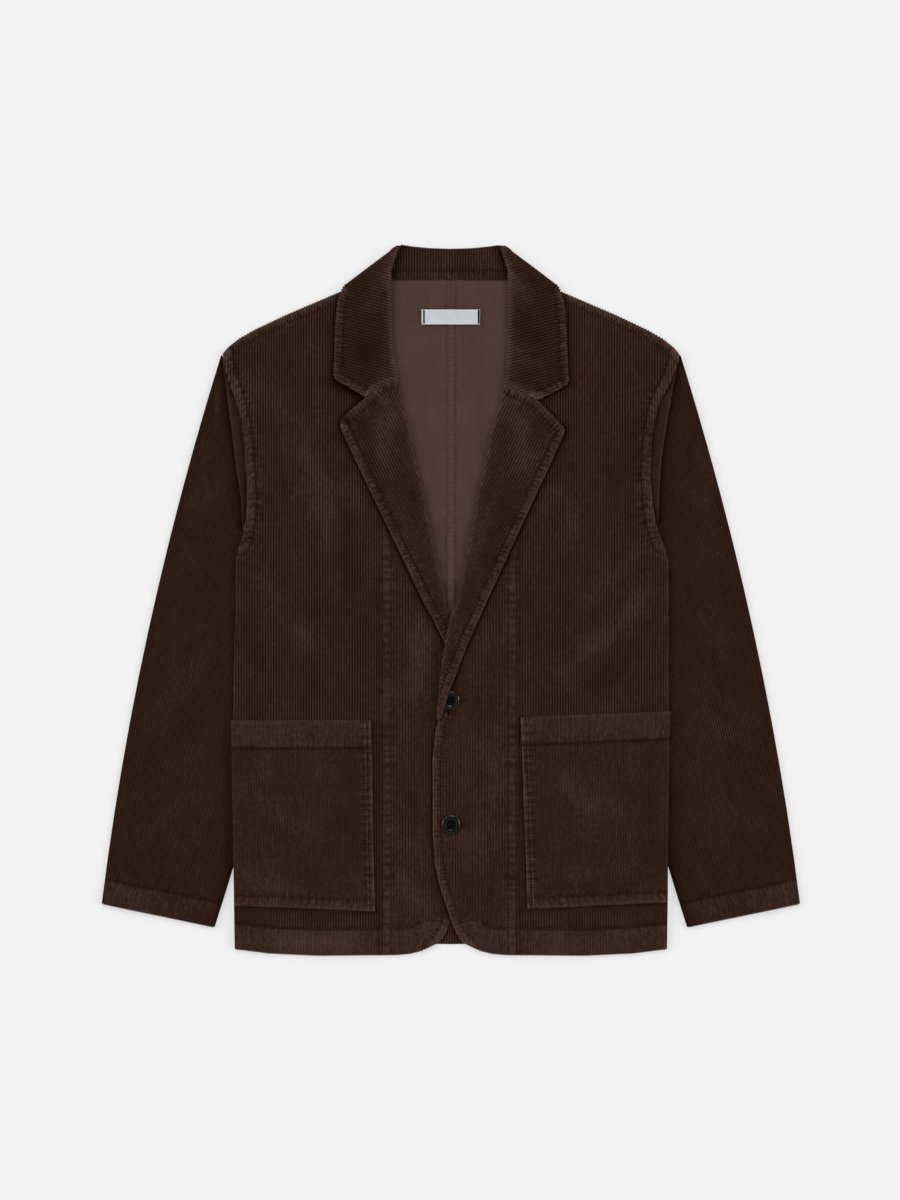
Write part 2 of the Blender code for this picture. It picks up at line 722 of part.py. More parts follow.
def make_collar():
    """The fall behind the back, the stand in front of it, and the leaves that come round to the lapels."""

    def sign_of(x):
        return "left" if x > 0 else "right"

    def half(side):
        """From the gorge's inner end out and up to the middle of the stand's top."""
        gorge = [(x, y + GAP * 1.3) for x, y in GORGE[side][::-1]]
        return mirrored([*gorge, *NOTCH[side], *LEAF_EDGE, *CREASE, *STAND_TOP], side)

    def roll(side):
        """Up the roll from the gorge to the foot of the stand."""
        points = edge_points(side, GORGE_END[side] + GAP * 1.3, STAND_FOOT)
        return mirrored(points, side)

    outline = half("left") + half("right")[::-1][1:] + roll("right") + roll("left")[::-1]
    cx, cy = CREASE[0]
    ex, ey = CREASE[-1]
    length = math.dist(CREASE[0], CREASE[-1])
    normal = ((cy - ey) / length, (ex - cx) / length)

    def from_crease(x, y):
        return (x - cx) * normal[0] + (y - cy) * normal[1]

    def stand_side(side, y):
        return EDGE[side][0][1] - between(y, STAND_SIDE)

    def on_leaf(side, x, y):
        """1 on a leaf, 0 on the stand."""
        if y < STAND_FOOT - 1.0:
            return 1.0
        return between(x - stand_side(side, y), [(-STAND_DROP, 0.0), (0.0, 1.0)])

    def leaf_level(side, x, y):
        _, top = roll_profile(side, x, y, FRONT_LEVEL[side], ROLL_ROUND if y < STAND_FOOT - 1.0 else 0.0)
        return top - CREASE_DROP * max(0.0, 1 - max(0.0, from_crease(x, y)) / CREASE_ROUND) ** 2

    def top(x, y):
        side, out = sign_of(x), abs(x)
        leaf = on_leaf(side, out, y)
        stand = STAND_LEVEL + PLAIN
        wale = zigzag(y, COLLAR_PITCH) if leaf == 1.0 else zigzag(x, PITCH) if leaf == 0.0 else 0.0
        return leaf * leaf_level(side, out, y) + (1 - leaf) * stand + WALE * wale

    def bottom(x, y):
        side, out = sign_of(x), abs(x)
        under, _ = roll_profile(side, out, y, FRONT_LEVEL[side], 0.0)
        return between(y - fall_edge(x), [(-0.3, under), (0.0, 0.0)])

    def both(line):
        return [line, mirrored(line, "right")]

    leaf_wales, slopes = [], []
    for side in SIDES:
        for y in halves(GORGE_END["left"] - 20, 400, COLLAR_PITCH):
            start = stand_side(side, y) + 0.2 if y > STAND_FOOT - 1.0 else 50.0
            leaf_wales.append(mirrored([(start, y), (140.0, y)], side))
        for d in (0.0, STAND_DROP):
            slopes.append(mirrored([(stand_side(side, y) - d, y) for y, _ in STAND_SIDE], side))
    stand_wales = [[(x, STAND_FOOT - 1), (x, 402.0)] for x in halves(-50.0, 50.0, PITCH)]
    rounding = [
        line
        for d in (CREASE_ROUND * 0.35, CREASE_ROUND)
        for line in both([(x + normal[0] * d, y + normal[1] * d) for x, y in (CREASE[0], CREASE[-1])])
    ]
    inner, outer = [], []
    for side in SIDES:
        pair = roll_lines(side, GORGE_END[side] - 5, STAND_FOOT)
        inner += [mirrored(line, side) for line in pair[0]]
        outer += [mirrored(line, side) for line in pair[1]]
    steps = [fall_line(d) for d in (0.0, 0.3)]
    collar = plate(
        "collar",
        outline,
        top,
        bottom,
        BROWN,
        leaf_wales + stand_wales + slopes + rounding + outer,
        inner + steps + fall_ramp_lines(),
    )
    cut(collar, make_collar_hollow())


def make_collar_hollow():
    """The space between the fall and the rest of the collar, which the back and fronts fill."""
    wall = 2.0
    low = FALL_DEPTH[0] - 10.0
    crease = [(x - wall, y - wall) for x, y in CREASE]
    half = [(140.0, low), (140.0, CREASE[0][1] - 5.5), (118.0, CREASE[0][1] - 5.0), *crease]
    half += [(58.0, 392.0), (0.0, 391.5)]
    outline = half + [(-x, y) for x, y in half[::-1][1:]]

    def ceiling(x, y):
        side, out = ("left" if x > 0 else "right"), abs(x)
        roof = crest(side, out, y) + GAP
        behind_roll = STAND_LEVEL if y > STAND_FOOT - 1 else back_top(out, y) + GAP
        start = between(y, EDGE[side])
        return between(out - start, [(ROLL - 0.3, behind_roll), (ROLL, roof)]) - 0.1

    walls = [
        mirrored(edge_points(side, low - 5, 400.0, lambda y, d=d: ROLL - d), side)
        for side in SIDES
        for d in (0.3, 0.0)
    ]
    plates = [[(-80.0, STAND_FOOT - d), (80.0, STAND_FOOT - d)] for d in (1.0, 0.7)]
    return plate(
        "collar_hollow",
        outline,
        ceiling,
        lambda x, y: FALL,
        BROWN,
        walls + plates + fall_ramp_lines(),
    )


def make_label():
    (x0, x1), (y0, y1) = LABEL["x"], LABEL["y"]
    lines = fall_ramp_lines()

    def bottom(x, y):
        return back_top(x, y) + FELLED_RISE + GAP

    outline = [(x0, y0), (x1, y0), (x1, y1), (x0, y1)]
    plate("neck_label", outline, lambda x, y: bottom(x, y) + LABEL["thickness"], bottom, WHITE, lines, lines)


def make_button(name, place):
    """A four-hole button with a raised rim and a dished middle."""
    x, y = place
    r = BUTTON_D / 2
    base = button_base(place)
    # radius, height of the turned profile, from the edge of the back to the edge of the dish
    profile = [
        (r - 1.0, 0.0),
        (r, 1.2),
        (r - 0.6, BUTTON_H - 0.3),
        (r - 1.4, BUTTON_H),
        (r - BUTTON_RIM - 0.6, BUTTON_H - BUTTON_DISH),
    ]
    points, faces = [], []
    for radius, z in profile:
        points += [(px + x, py + y, base + z) for px, py in circle(radius, BUTTON_SIDES)]
    for ring in range(len(profile) - 1):
        for k in range(BUTTON_SIDES):
            a, b = ring * BUTTON_SIDES + k, ring * BUTTON_SIDES + (k + 1) % BUTTON_SIDES
            faces.append((a, b, b + BUTTON_SIDES, a + BUTTON_SIDES))
    last = (len(profile) - 1) * BUTTON_SIDES
    faces.append(tuple(range(BUTTON_SIDES))[::-1])
    faces.append(tuple(range(last, last + BUTTON_SIDES)))
    button = add_mesh(name, points, faces, HORN)
    offset = BUTTON_HOLE_PITCH / 2
    for i, (dx, dy) in enumerate(((1, 1), (-1, 1), (-1, -1), (1, -1))):
        centre = (x + dx * offset, y + dy * offset)
        drill = plate(
            f"{name}_drill_{i}",
            circle(BUTTON_HOLE_D / 2, 6, *centre),
            lambda px, py: base + BUTTON_H + 1.0,
            lambda px, py: base - 1.0,
            HORN,
        )
        cut(button, drill)


def main():
    for thing in list(bpy.data.objects):
        bpy.data.objects.remove(thing)
    for side in SIDES:
        make_back(side)
        make_side_front(side)
        make_centre_front(side)
        make_lapel(side)
        make_pocket(side)
        make_sleeve(side)
    make_collar()
    make_label()
    for name, place in BUTTONS.items():
        make_button(f"button_{name}", place)


main()
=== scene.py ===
"""The finish of a corduroy jacket laid flat: its cloth, sewing, label and buttons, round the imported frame.

Lengths in the code are millimetres, and an object is made in metres at the end. Most of the work is done in
side space: x grows from the centre line outward and SIDES turns it to the wearer's right or left. On a cloth
piece, a runs across the wales and b along them.
"""

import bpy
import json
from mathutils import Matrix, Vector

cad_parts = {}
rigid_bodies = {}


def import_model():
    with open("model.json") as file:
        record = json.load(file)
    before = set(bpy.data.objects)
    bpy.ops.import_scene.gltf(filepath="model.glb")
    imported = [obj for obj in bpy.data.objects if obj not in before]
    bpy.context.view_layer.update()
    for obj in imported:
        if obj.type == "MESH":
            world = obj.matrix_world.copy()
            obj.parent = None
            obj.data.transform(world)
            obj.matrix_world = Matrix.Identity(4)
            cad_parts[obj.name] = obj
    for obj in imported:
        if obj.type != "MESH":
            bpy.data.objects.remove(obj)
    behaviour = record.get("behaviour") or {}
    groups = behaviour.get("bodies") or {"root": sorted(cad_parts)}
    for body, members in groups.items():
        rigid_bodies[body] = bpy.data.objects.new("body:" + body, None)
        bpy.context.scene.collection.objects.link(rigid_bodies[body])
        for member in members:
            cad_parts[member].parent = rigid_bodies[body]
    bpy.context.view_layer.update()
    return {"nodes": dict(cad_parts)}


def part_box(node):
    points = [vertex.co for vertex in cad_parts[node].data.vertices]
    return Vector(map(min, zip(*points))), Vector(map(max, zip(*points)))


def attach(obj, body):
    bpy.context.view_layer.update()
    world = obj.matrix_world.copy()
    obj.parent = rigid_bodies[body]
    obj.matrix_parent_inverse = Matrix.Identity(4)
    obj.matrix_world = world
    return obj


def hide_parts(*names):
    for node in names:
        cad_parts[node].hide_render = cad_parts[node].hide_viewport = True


bl_info = {
    "name": "Corduroy Jacket",
    "version": (1, 0, 0),
    "blender": (4, 5, 0),
    "location": "3D View > Sidebar > Jacket",
    "description": "Dresses a flat-lying corduroy jacket with wales, creases, sewing, a label and buttons",
    "category": "Object",
}

import copy
import functools
import json
import math
from collections import namedtuple

import bmesh
import bpy
import numpy as np
from bpy.props import FloatProperty, FloatVectorProperty, PointerProperty
from mathutils import Matrix, Vector
from mathutils.bvhtree import BVHTree

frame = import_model()

MM = 0.001
SIDES = {"right": -1, "left": 1}  # the wearer's

# ---- Sizes that follow the solids, in millimetres ----

PITCH = 3.04  # from wale to wale
PITCHES = {"centre_front": 3.28, "sleeve": 2.93, "lapel": 3.22, "leaf": 3.36}  # where the make changes it
SLEEVE_LEAN = math.atan2(134.1, 616.5)  # the lean of a sleeve's outer fold
SLEEVE_BOW = 0.35  # how much of its outer fold's bow the wales of a sleeve follow
LAPEL_GRAIN = math.radians(26.3)  # the wales' lean on a lapel, outward as they rise
LEAF_RISE = math.tan(math.radians(15))  # the wales' rise on a leaf of the collar, outward
POCKET_WALES = 52  # the wales across a pocket
# How far a panel's cloth reaches beyond its outline, to close the seams beside it
OVERLAPS = {"back": 0.15, "side_front": 0.15, "centre_front": 0.15, "sleeve": 0.45}
# How plainly the wales stand out on each panel, beside a fresh cloth's
CRISPNESS = {
    "side_front": 0.88,
    "centre_front": 0.48,
    "sleeve": 0.70,
    "lapel": 0.62,
    "leaf": 0.68,
    "stand": 0.9,
    "pocket": 0.34,
}
LEAF_LEVEL = 4.3  # a leaf of the collar lies above this height and the stand below it
TUBE_LEVEL = 3.0  # and a sleeve's upper cloth lies above this one
# (x, y) in side space of each panel's four corners, where one edge curve ends and the next begins. With the
# wales upright they go anticlockwise: the low end of the first wale, of the last wale, and their high ends
CORNERS = {
    "back": [(0.15, -387.3), (243, -384.3), (256.3, 277.5), (0.15, 360.0)],
    "side_front": [(77, -399.4), (243, -392.6), (256.3, 277.5), (77, 365.4)],
    "centre_front": [(22, -389.5), (81, -399.4), (81, 366), (71, 368.5)],
    "sleeve": [(392.6, -341.8), (266.3, -368.2), (256.6, 277.5), (258.5, 274.7)],
    "lapel_right": [(-11.5, -79), (-7.6, -79), (124.2, 196), (56, 247.8)],
    "lapel_left": [(-16, -134), (-13.2, -136), (128.2, 191.5), (60, 243.2)],
    "leaf": [(95.7, 228.2), (56.2, 399.7), (61.5, 398.8), (97, 230)],
    "stand": [(-67, 361.8), (64, 361.8), (52, 398), (-52, 398)],
    "fall": [(-122.3, 350.3), (122.3, 350.3), (66, 396), (-66, 396)],
    "neck_label": [(-33, 310.2), (32.8, 310.2), (32.8, 327), (-33, 327)],
    "pocket_right": [(85.6, -349.7), (243.5, -343.2), (247.2, -135.4), (89.8, -135.4)],
    "pocket_left": [(86.3, -347.2), (243.0, -339.5), (246.3, -125.2), (78.6, -132.0)],
}

# A row of stitches: the edge that it follows and how far inside it, how much the cloth puckers and how far,
# how much lighter it is worn between the row and the edge, how dark the row's groove is painted as painted
# shade, from which y to which it runs, how far apart the puckers are, and how flat the wales are pressed
# inside the row
Row = namedtuple(
    "Row",
    "edge inset pucker reach worn dark low high wave press",
    defaults=(0.2, -math.inf, math.inf, 5.0, 0.0),
)
SEWING = {
    "side_front": [
        Row("right", 11.0, 1.0, 8.0, 0.30, 0.35, low=62.0, wave=7.0),
        Row("bottom", 29.0, 0.4, 6.0, 0.30, 0.45, press=0.5),
        Row("top", 9.0, 0.6, 6.0, 0.16),
    ],
    "centre_front": [
        Row("right", 12.5, 0.6, 4.5, 0.14, 0.08, wave=9.4, press=0.4),
        Row("right", 3.2, 0.15, 2.0, 0.0, 0.20, wave=9.4),
        Row("bottom", 29.0, 0.5, 6.0, 0.16, 0.3, press=0.4),
        Row("left", 8.6, 0.8, 6.0, 0.16, high=100.0),
    ],
    "sleeve": [Row("bottom", 28.0, 0.4, 7.0, 0.24, 0.45, press=0.75)],
    "lapel": [Row("right", 9.5, 1.0, 6.0, 0.18, press=0.3), Row("top", 9.0, 0.9, 6.0, 0.18, press=0.3)],
    "leaf": [Row("top", 8.5, 1.1, 6.0, 0.30, high=350.0, wave=6.4)],
    "stand": [Row("bottom", 8.5, 0.6, 7.0, 0.10)],
    "pocket": [
        Row("top", 31.0, 0.3, 5.0, 0.12, 0.5, press=0.4),
        Row("left", 4.2, 0.5, 4.0, 0.22, 0.25),
        Row("left", 8.6, 0.8, 5.0, 0.04, 0.25, wave=8.4),
        Row("bottom", 11.0, 0.6, 6.0, 0.14, wave=8.0),
    ],
}
# Painted light and shade along the edges of each panel: lighter where the tone is above zero, wear with a
# painted highlight on folded edges and wale ends, and painted shade where it is below, in seams and beside
# the pieces that lie over it. Each gives the edge, how much lighter the cloth is at it, how far that reaches,
# and how far inside the edge it lies
EDGES = {
    "side_front": [("left", -0.40, 1.4), ("right", 0.15, 2.5), ("top", 0.45, 3.5)],
    "centre_front": [("right", -0.40, 1.4), ("left", 0.60, 2.2)],
    "sleeve": [("right", -0.22, 30.0), ("right", -0.55, 3.5), ("left", -0.10, 16.0)],
    "lapel": [("right", 0.50, 1.6), ("top", 0.50, 1.6), ("left", 0.60, 2.4)],
    "leaf": [("top", 0.60, 1.8), ("bottom", 1.3, 4.0)],
    "pocket": [
        ("left", 0.45, 1.6),
        ("right", 0.25, 1.6),
        ("bottom", 0.70, 2.0),
        ("top", 0.30, 1.6),
        ("left", 0.45, 1.3, 7.6),
    ],
}
# How light each panel's cloth is beside a plain one
TONES = {
    "side_front": 0.98,
    "centre_front": 1.05,
    "sleeve": 0.94,
    "lapel": 0.97,
    "leaf": 0.83,
    "stand": 1.0,
    "pocket": 1.03,
}
# The seams of a front beside which its grid is closer, and from which y up
PUCKERED = {
    "side_front": [("right", 55.0), ("top", -math.inf)],
    "centre_front": [("right", -math.inf), ("left", -math.inf)],
}
PUCKER_REACH = 21.0  # how far from those seams it is closer
PUFF = 0.45  # how far the cloth between an edge and its stitches swells
BACK_HEM = -352.0  # below this y the back's turned-up hem shows the cloth's pile
WELT = 4.9  # half the width of the back's felled seam
WELT_FOOT, WELT_LEVELS = 0.95, (1.25, 2.1)  # the heights of its underside, and of its edge and middle
WELT_ENDS = (-387.0, 361.0)  # the y of its two ends
# Soft folds in side space: points, width, height, and how much lighter the cloth is on them, painted sheen
# where that is above zero and painted shade where it is below
FOLDS = {
    "side_front_right": [
        ([(170, 190), (150, 120), (132, 40)], 16.0, 1.1, 0.22),
        ([(120, 110), (112, 30), (122, -60)], 13.0, -0.8, -0.14),
        ([(226, 40), (190, -20), (150, -60)], 12.0, 0.7, 0.14),
        ([(205, 250), (190, 215), (150, 190)], 12.0, 0.6, 0.11),
        ([(232, -10), (215, -70), (170, -110)], 9.0, -0.6, -0.14),
        ([(90, -386), (160, -385), (238, -382)], 12.0, 0.2, 0.16),
    ],
    "side_front_left": [
        ([(232, 30), (190, -30), (120, -90)], 10.0, 1.0, 0.22),
        ([(226, 70), (180, 20), (130, -20)], 12.0, 0.7, 0.14),
        ([(236, -10), (200, -70), (150, -112)], 10.0, -0.8, -0.14),
        ([(150, 150), (140, 90), (118, 40)], 15.0, 0.7, 0.11),
        ([(215, 200), (190, 140), (182, 80)], 14.0, -0.6, -0.11),
    ],
    "centre_front_right": [
        ([(40, -10), (36, -70), (44, -130)], 12.0, 1.0, 0.28),
        ([(60, -190), (40, -240), (20, -262)], 9.0, 0.5, -0.11),
        ([(66, -300), (44, -330), (20, -352)], 12.0, 0.6, 0.22),
    ],
    "centre_front_left": [
        ([(30, -150), (52, -210), (40, -260)], 10.0, 0.5, 0.11),
        ([(58, -290), (40, -330), (50, -370)], 11.0, 0.5, -0.11),
    ],
    "sleeve_right": [
        ([(261, 264), (262, 238), (265, 200)], 5.0, 0.4, 0.4),
        ([(262, 210), (282, 150), (276, 60)], 12.0, 1.0, 0.14),
        ([(300, 190), (312, 120), (318, 40)], 14.0, -0.8, -0.11),
        ([(262, -60), (300, -100), (340, -110)], 12.0, 0.8, 0.11),
        ([(270, -130), (310, -160), (352, -180)], 11.0, -0.7, -0.11),
        ([(300, -220), (330, -260), (366, -270)], 12.0, 0.7, 0.11),
    ],
    "sleeve_left": [
        ([(259, 277), (260, 260), (263, 232)], 4.0, 0.3, 0.4),
        ([(262, 200), (286, 140), (284, 50)], 13.0, 1.0, 0.11),
        ([(300, 200), (318, 130), (320, 60)], 14.0, -0.8, -0.11),
        ([(258, -40), (296, -84), (346, -96)], 12.0, -0.8, -0.11),
        ([(266, -120), (306, -150), (350, -166)], 11.0, 0.7, 0.11),
        ([(290, -230), (330, -250), (372, -250)], 12.0, 0.6, 0.08),
    ],
    "pocket_right": [
        ([(236, -200), (200, -240), (160, -262)], 13.0, 0.8, 0.17),
        ([(240, -300), (200, -322), (140, -330)], 12.0, 0.7, 0.20),
        ([(110, -190), (128, -250), (112, -310)], 11.0, -0.6, -0.14),
    ],
    "pocket_left": [
        ([(110, -190), (150, -230), (190, -240)], 13.0, 0.8, 0.17),
        ([(230, -200), (220, -260), (226, -310)], 12.0, -0.6, -0.14),
        ([(100, -300), (150, -312), (200, -300)], 11.0, 0.7, 0.14),
    ],
    "lapel_right": [
        ([(106, 208), (98, 196), (88, 172)], 7.0, -0.4, -0.28),
        ([(88, 238), (80, 231), (72, 220)], 4.5, 0.3, 0.30),
        ([(60, 215), (80, 190), (76, 150)], 12.0, 0.8, 0.28),
        ([(70, 120), (52, 90), (46, 60)], 9.0, 0.6, 0.17),
        ([(100, 185), (92, 150), (74, 110)], 8.0, -0.5, -0.17),
    ],
    "lapel_left": [
        ([(106, 208), (98, 196), (88, 172)], 7.0, -0.4, -0.28),
        ([(88, 238), (80, 231), (72, 220)], 4.5, 0.3, 0.30),
        ([(66, 215), (84, 190), (80, 140)], 12.0, 0.8, 0.25),
        ([(70, 110), (48, 70), (40, 30)], 9.0, -0.5, -0.14),
        ([(52, 120), (36, 80), (24, 30)], 7.0, 0.5, 0.17),
    ],
    "leaf_right": [
        ([(90, 340), (99, 290), (93, 240)], 9.0, -0.4, -0.16),
        ([(66, 380), (84, 350), (96, 310)], 9.0, 0.7, 0.31),
        ([(70, 300), (92, 280), (100, 250)], 9.0, -0.6, -0.22),
    ],
    "leaf_left": [
        ([(90, 340), (99, 290), (93, 240)], 9.0, -0.4, -0.08),
        ([(64, 372), (84, 340), (100, 320)], 9.0, 0.8, 0.34),
        ([(66, 290), (84, 268), (110, 262)], 9.0, 0.6, 0.22),
        ([(74, 330), (82, 300), (104, 290)], 7.0, -0.6, -0.22),
    ],
}
# Where the cloth of each sleeve, drawn out of its armhole, folds under, from the bottom up in side space
TUCKS = {
    "right": [(234.0, 78), (236.1, 115), (240.6, 144), (245.1, 180), (250.7, 223), (255.2, 257), (257, 270)],
    "left": [(233.2, 86), (234.4, 122), (236.4, 153), (240.4, 183), (244.4, 207), (249.6, 238), (256, 270)],
}
TUCK_PITCH = 2.3  # from wale to wale there
TUCK_LEAN = math.radians(47)  # how steeply those wales fall outward
TUCK_HEIGHT = 1.5  # how far the drawn-out cloth stands over the rest
SLEEVE_WALL, SLEEVE_FOLD = 1.8, 2.5  # a sleeve's upper cloth, and how much of its sides is left solid
UNDER_INSET, UNDER_CLOTH = 3.6, 1.2  # how far inside them its under cloth ends, and that cloth's thickness
STAND_SIDE, STAND_DROP = 3.0, 1.7  # how far the stand's cloth reaches beyond its sides and its foot
FALL_CLOTH = 1.5  # the thickness of the collar's fall
WALE_ROUND = 0.7  # the lower, the broader a wale's top
WALE_MEAN = 0.62  # the mean height of such a wale, as a share
SCALLOP = 1.4  # how far the wales' ends show along an edge


# ---- Settings ----


def length(name, default, description):
    """A length property, given in millimetres and kept in metres."""
    return FloatProperty(
        name=name, description=description, default=default * MM, min=0.0, unit="LENGTH", precision=5
    )


def amount(name, default, description):
    """A property without a unit."""
    return FloatProperty(name=name, description=description, default=default, min=0.0)


def colour(name, default, description):
    """A colour property."""
    return FloatVectorProperty(
        name=name, description=description, default=default, min=0.0, max=1.0, size=3, subtype="COLOR"
    )


class ClothSettings(bpy.types.PropertyGroup):
    """The corduroy."""

    wale: length("Wale height", 0.8, "Height of a wale over its groove")
    rim: length("Edge roundness", 1.0, "Radius of the folded edges")
    ridge: colour("Ridge", (0.0555, 0.0232, 0.0133), "Colour of the pile on top of a wale")
    # the groove colour is darkened as painted shade in the grooves
    groove: colour("Groove", (0.0060, 0.0022, 0.0012), "Colour of the pile in a groove")
    # the worn colour is also the painted sheen of the pile where its tone is painted lighter
    worn: colour("Worn", (0.098, 0.052, 0.041), "Colour of the pile where it is rubbed")
    inside: colour("Inside", (0.077, 0.0372, 0.0268), "Colour of the cloth's bare inner side")
    patches: amount("Nap patches", 0.36, "How much the brushed nap varies")


class SewingSettings(bpy.types.PropertyGroup):
    """The rows of stitches and what they do to the cloth."""

    stitch: length("Stitch length", 3.8, "Distance from stitch to stitch")
    thread: length("Thread width", 0.55, "Width of the thread as it lies in the pile")
    depth: length("Stitch depth", 0.8, "How far the thread pulls the cloth down")
    pucker: length("Pucker height", 0.85, "Height of the puckers beside a row of stitches")
    colour: colour("Thread", (0.018, 0.008, 0.005), "Colour of the thread")


class ButtonSettings(bpy.types.PropertyGroup):
    """The buttons and the neck label."""

    dish: length("Dish", 0.9, "How far the middle of a button lies below its rim")
    hole: length("Hole", 2.0, "Diameter of a button's holes")
    pitch: length("Hole pitch", 4.3, "Distance between a button's holes")
    horn: colour("Horn", (0.0010, 0.0010, 0.0011), "Colour of the horn")
    label: colour("Label", (0.62, 0.66, 0.70), "Colour of the neck label")


class StageSettings(bpy.types.PropertyGroup):
    """The surface, the light and the camera."""

    floor: colour("Floor", (0.36, 0.36, 0.36), "Colour of the surface that the jacket lies on")
    glow: amount("Glow", 0.545, "How much light comes through the surface")
    view_height: length("Frame height", 1350.0, "Height of the camera's view")
    focal: amount("Focal length", 100.0, "Lens of the camera, in mm")


# ---- Arithmetic ----

SWELLS = 997  # an uneven wave repeats after this many
PATCHES = 61  # and uneven patches after this many each way
PATH_STEP = 4.0  # the least distance between the points of an edge's path


def eased(share):
    """A share from 0 to 1 that starts and ends softly."""
    return share * share * (3 - 2 * share)


def wobble(place, wave, seed):
    """An uneven wave, from -1 to 1, with a swell about every `wave` along a place."""
    knots = np.random.default_rng(seed).uniform(-1, 1, SWELLS)
    step = place / wave + 100
    low = np.floor(step).astype(int)
    share = eased(step - low)
    return knots[low % SWELLS] * (1 - share) + knots[(low + 1) % SWELLS] * share


def clouds(x, y, wave, seed):
    """Uneven patches, from -1 to 1, about `wave` across."""
    knots = np.random.default_rng(seed).uniform(-1, 1, (PATCHES, PATCHES))
    across, up = x / wave + 500, y / wave + 500
    i, j = np.floor(across).astype(int), np.floor(up).astype(int)
    u, v = eased(across - i), eased(up - j)
    i, j, after, above = i % PATCHES, j % PATCHES, (i + 1) % PATCHES, (j + 1) % PATCHES
    low = knots[i, j] * (1 - u) + knots[after, j] * u
    high = knots[i, above] * (1 - u) + knots[after, above] * u
    return low * (1 - v) + high * v


def hump(value, width):
    """A smooth hump of height 1 round zero."""
    return np.exp(-((value / width) ** 2))


def beside(path, x, y):
    """The distance of points from a path of (x, y), and how far along it they lie."""
    nearest = np.full(np.shape(x), np.inf)
    along = np.zeros(np.shape(x))
    run = 0.0
    for (ax, ay), (bx, by) in zip(path, path[1:]):
        reach = math.hypot(bx - ax, by - ay)
        share = np.clip(((x - ax) * (bx - ax) + (y - ay) * (by - ay)) / reach**2, 0, 1)
        away = np.hypot(x - ax - share * (bx - ax), y - ay - share * (by - ay))
        closer = away < nearest
        nearest = np.where(closer, away, nearest)
        along = np.where(closer, run + share * reach, along)
        run += reach
    return nearest, along


def drawn_out(fold, x, y):
    """Which places lie inside a fold that runs upward, and how far short of it every place is."""
    across, up = np.array(fold).T
    short = np.interp(y, up, across) - x
    return (short > 0) & (y > up[0]) & (y < up[-1]), short


def thinned(path):
    """A path with its points at least a step apart."""
    kept = [tuple(path[0])]
    for point in path[1:-1]:
        if math.dist(point, kept[-1]) >= PATH_STEP:
            kept.append(tuple(point))
    return kept + [tuple(path[-1])]


def area_of(ring):
    """The area inside a ring of points, negative where it goes clockwise."""
    x, y = ring.T
    return (x * np.roll(y, -1) - y * np.roll(x, -1)).sum() / 2


def moved_left(path, distance):
    """A path moved to its left, which on an anticlockwise outline is inward."""
    moved = []
    for k, (x, y) in enumerate(path):
        (ax, ay), (bx, by) = path[max(k - 1, 0)], path[min(k + 1, len(path) - 1)]
        run = math.hypot(bx - ax, by - ay) or 1.0
        moved.append((x - (by - ay) / run * distance, y + (bx - ax) / run * distance))
    return moved


# ---- Grain: (x, y) in side space to (a, b) on the cloth, and back ----

UPRIGHT = (lambda x, y: (x, y), lambda a, b: (a, b))
RISING = (lambda x, y: (y - LEAF_RISE * x, x), lambda a, b: (b, a + LEAF_RISE * b))


def leaning(angle):
    """Wales that lean outward by an angle as they rise."""
    run, lean = math.cos(angle), math.sin(angle)
    return (
        lambda x, y: (x * run - y * lean, y * run + x * lean),
        lambda a, b: (a * run + b * lean, b * run - a * lean),
    )


def along_sleeve(node):
    """The sleeve's wales run along it, and follow the bow of its outer fold only in part."""
    points, _ = faces_of(node)
    x, y = np.abs(points[:, 0]), points[:, 1]
    (x0, y0), (x1, y1) = CORNERS["sleeve"][3], CORNERS["sleeve"][0]
    beyond = (x - x0) - (x1 - x0) * (y0 - y) / (y0 - y1)
    bow = SLEEVE_BOW * beyond.max()

    def fold(y):
        share = (y0 - y) / (y0 - y1)
        return x0 + (x1 - x0) * share + 4 * bow * share * (1 - share)

    return lambda x, y: (fold(y) - x, y), lambda a, b: (fold(b) - a, b)


def on_pocket(corners, pitch):
    """A pocket's wales fan a little, from its inner edge to its outer one."""
    (ix, iy), (ox, oy), (px, py), (jx, jy) = corners
    width = POCKET_WALES * pitch

    def edges(y):
        return ix + (jx - ix) * (y - iy) / (jy - iy), ox + (px - ox) * (y - oy) / (py - oy)

    def to_grain(x, y):
        low, high = edges(y)
        return (x - low) / (high - low) * width - pitch / 4, y

    def from_grain(a, b):
        low, high = edges(b)
        return low + (a + pitch / 4) / width * (high - low), b

    return to_grain, from_grain


# ---- Forms: what the frame's pieces look like from above ----


def faces_of(node):
    """The corner points of a frame piece's triangles in millimetres, and the triangles."""
    mesh = frame["nodes"][node].data
    mesh.calc_loop_triangles()
    points = np.empty(len(mesh.vertices) * 3)
    mesh.vertices.foreach_get("co", points)
    triangles = np.empty(len(mesh.loop_triangles) * 3, int)
    mesh.loop_triangles.foreach_get("vertices", triangles)
    return points.reshape(-1, 3) / MM, triangles.reshape(-1, 3)


def outline(corners):
    """The longest ring round a set of triangles, given by their corners in plan."""
    spots, number = np.unique(np.round(corners.reshape(-1, 2), 3), axis=0, return_inverse=True)
    rows = number.reshape(-1, 3).tolist()
    edges = {(a, b) for row in rows for a, b in zip(row, row[1:] + row[:1])}
    follow = {}
    for a, b in sorted(edges):
        if (b, a) not in edges:
            follow.setdefault(a, []).append(b)
    rings = []
    while follow:
        here = next(iter(follow))
        ring = []
        while here in follow:
            ring.append(here)
            after = follow[here].pop()
            if not follow[here]:
                del follow[here]
            here = after
        rings.append(ring)
    return spots[max(rings, key=len)]


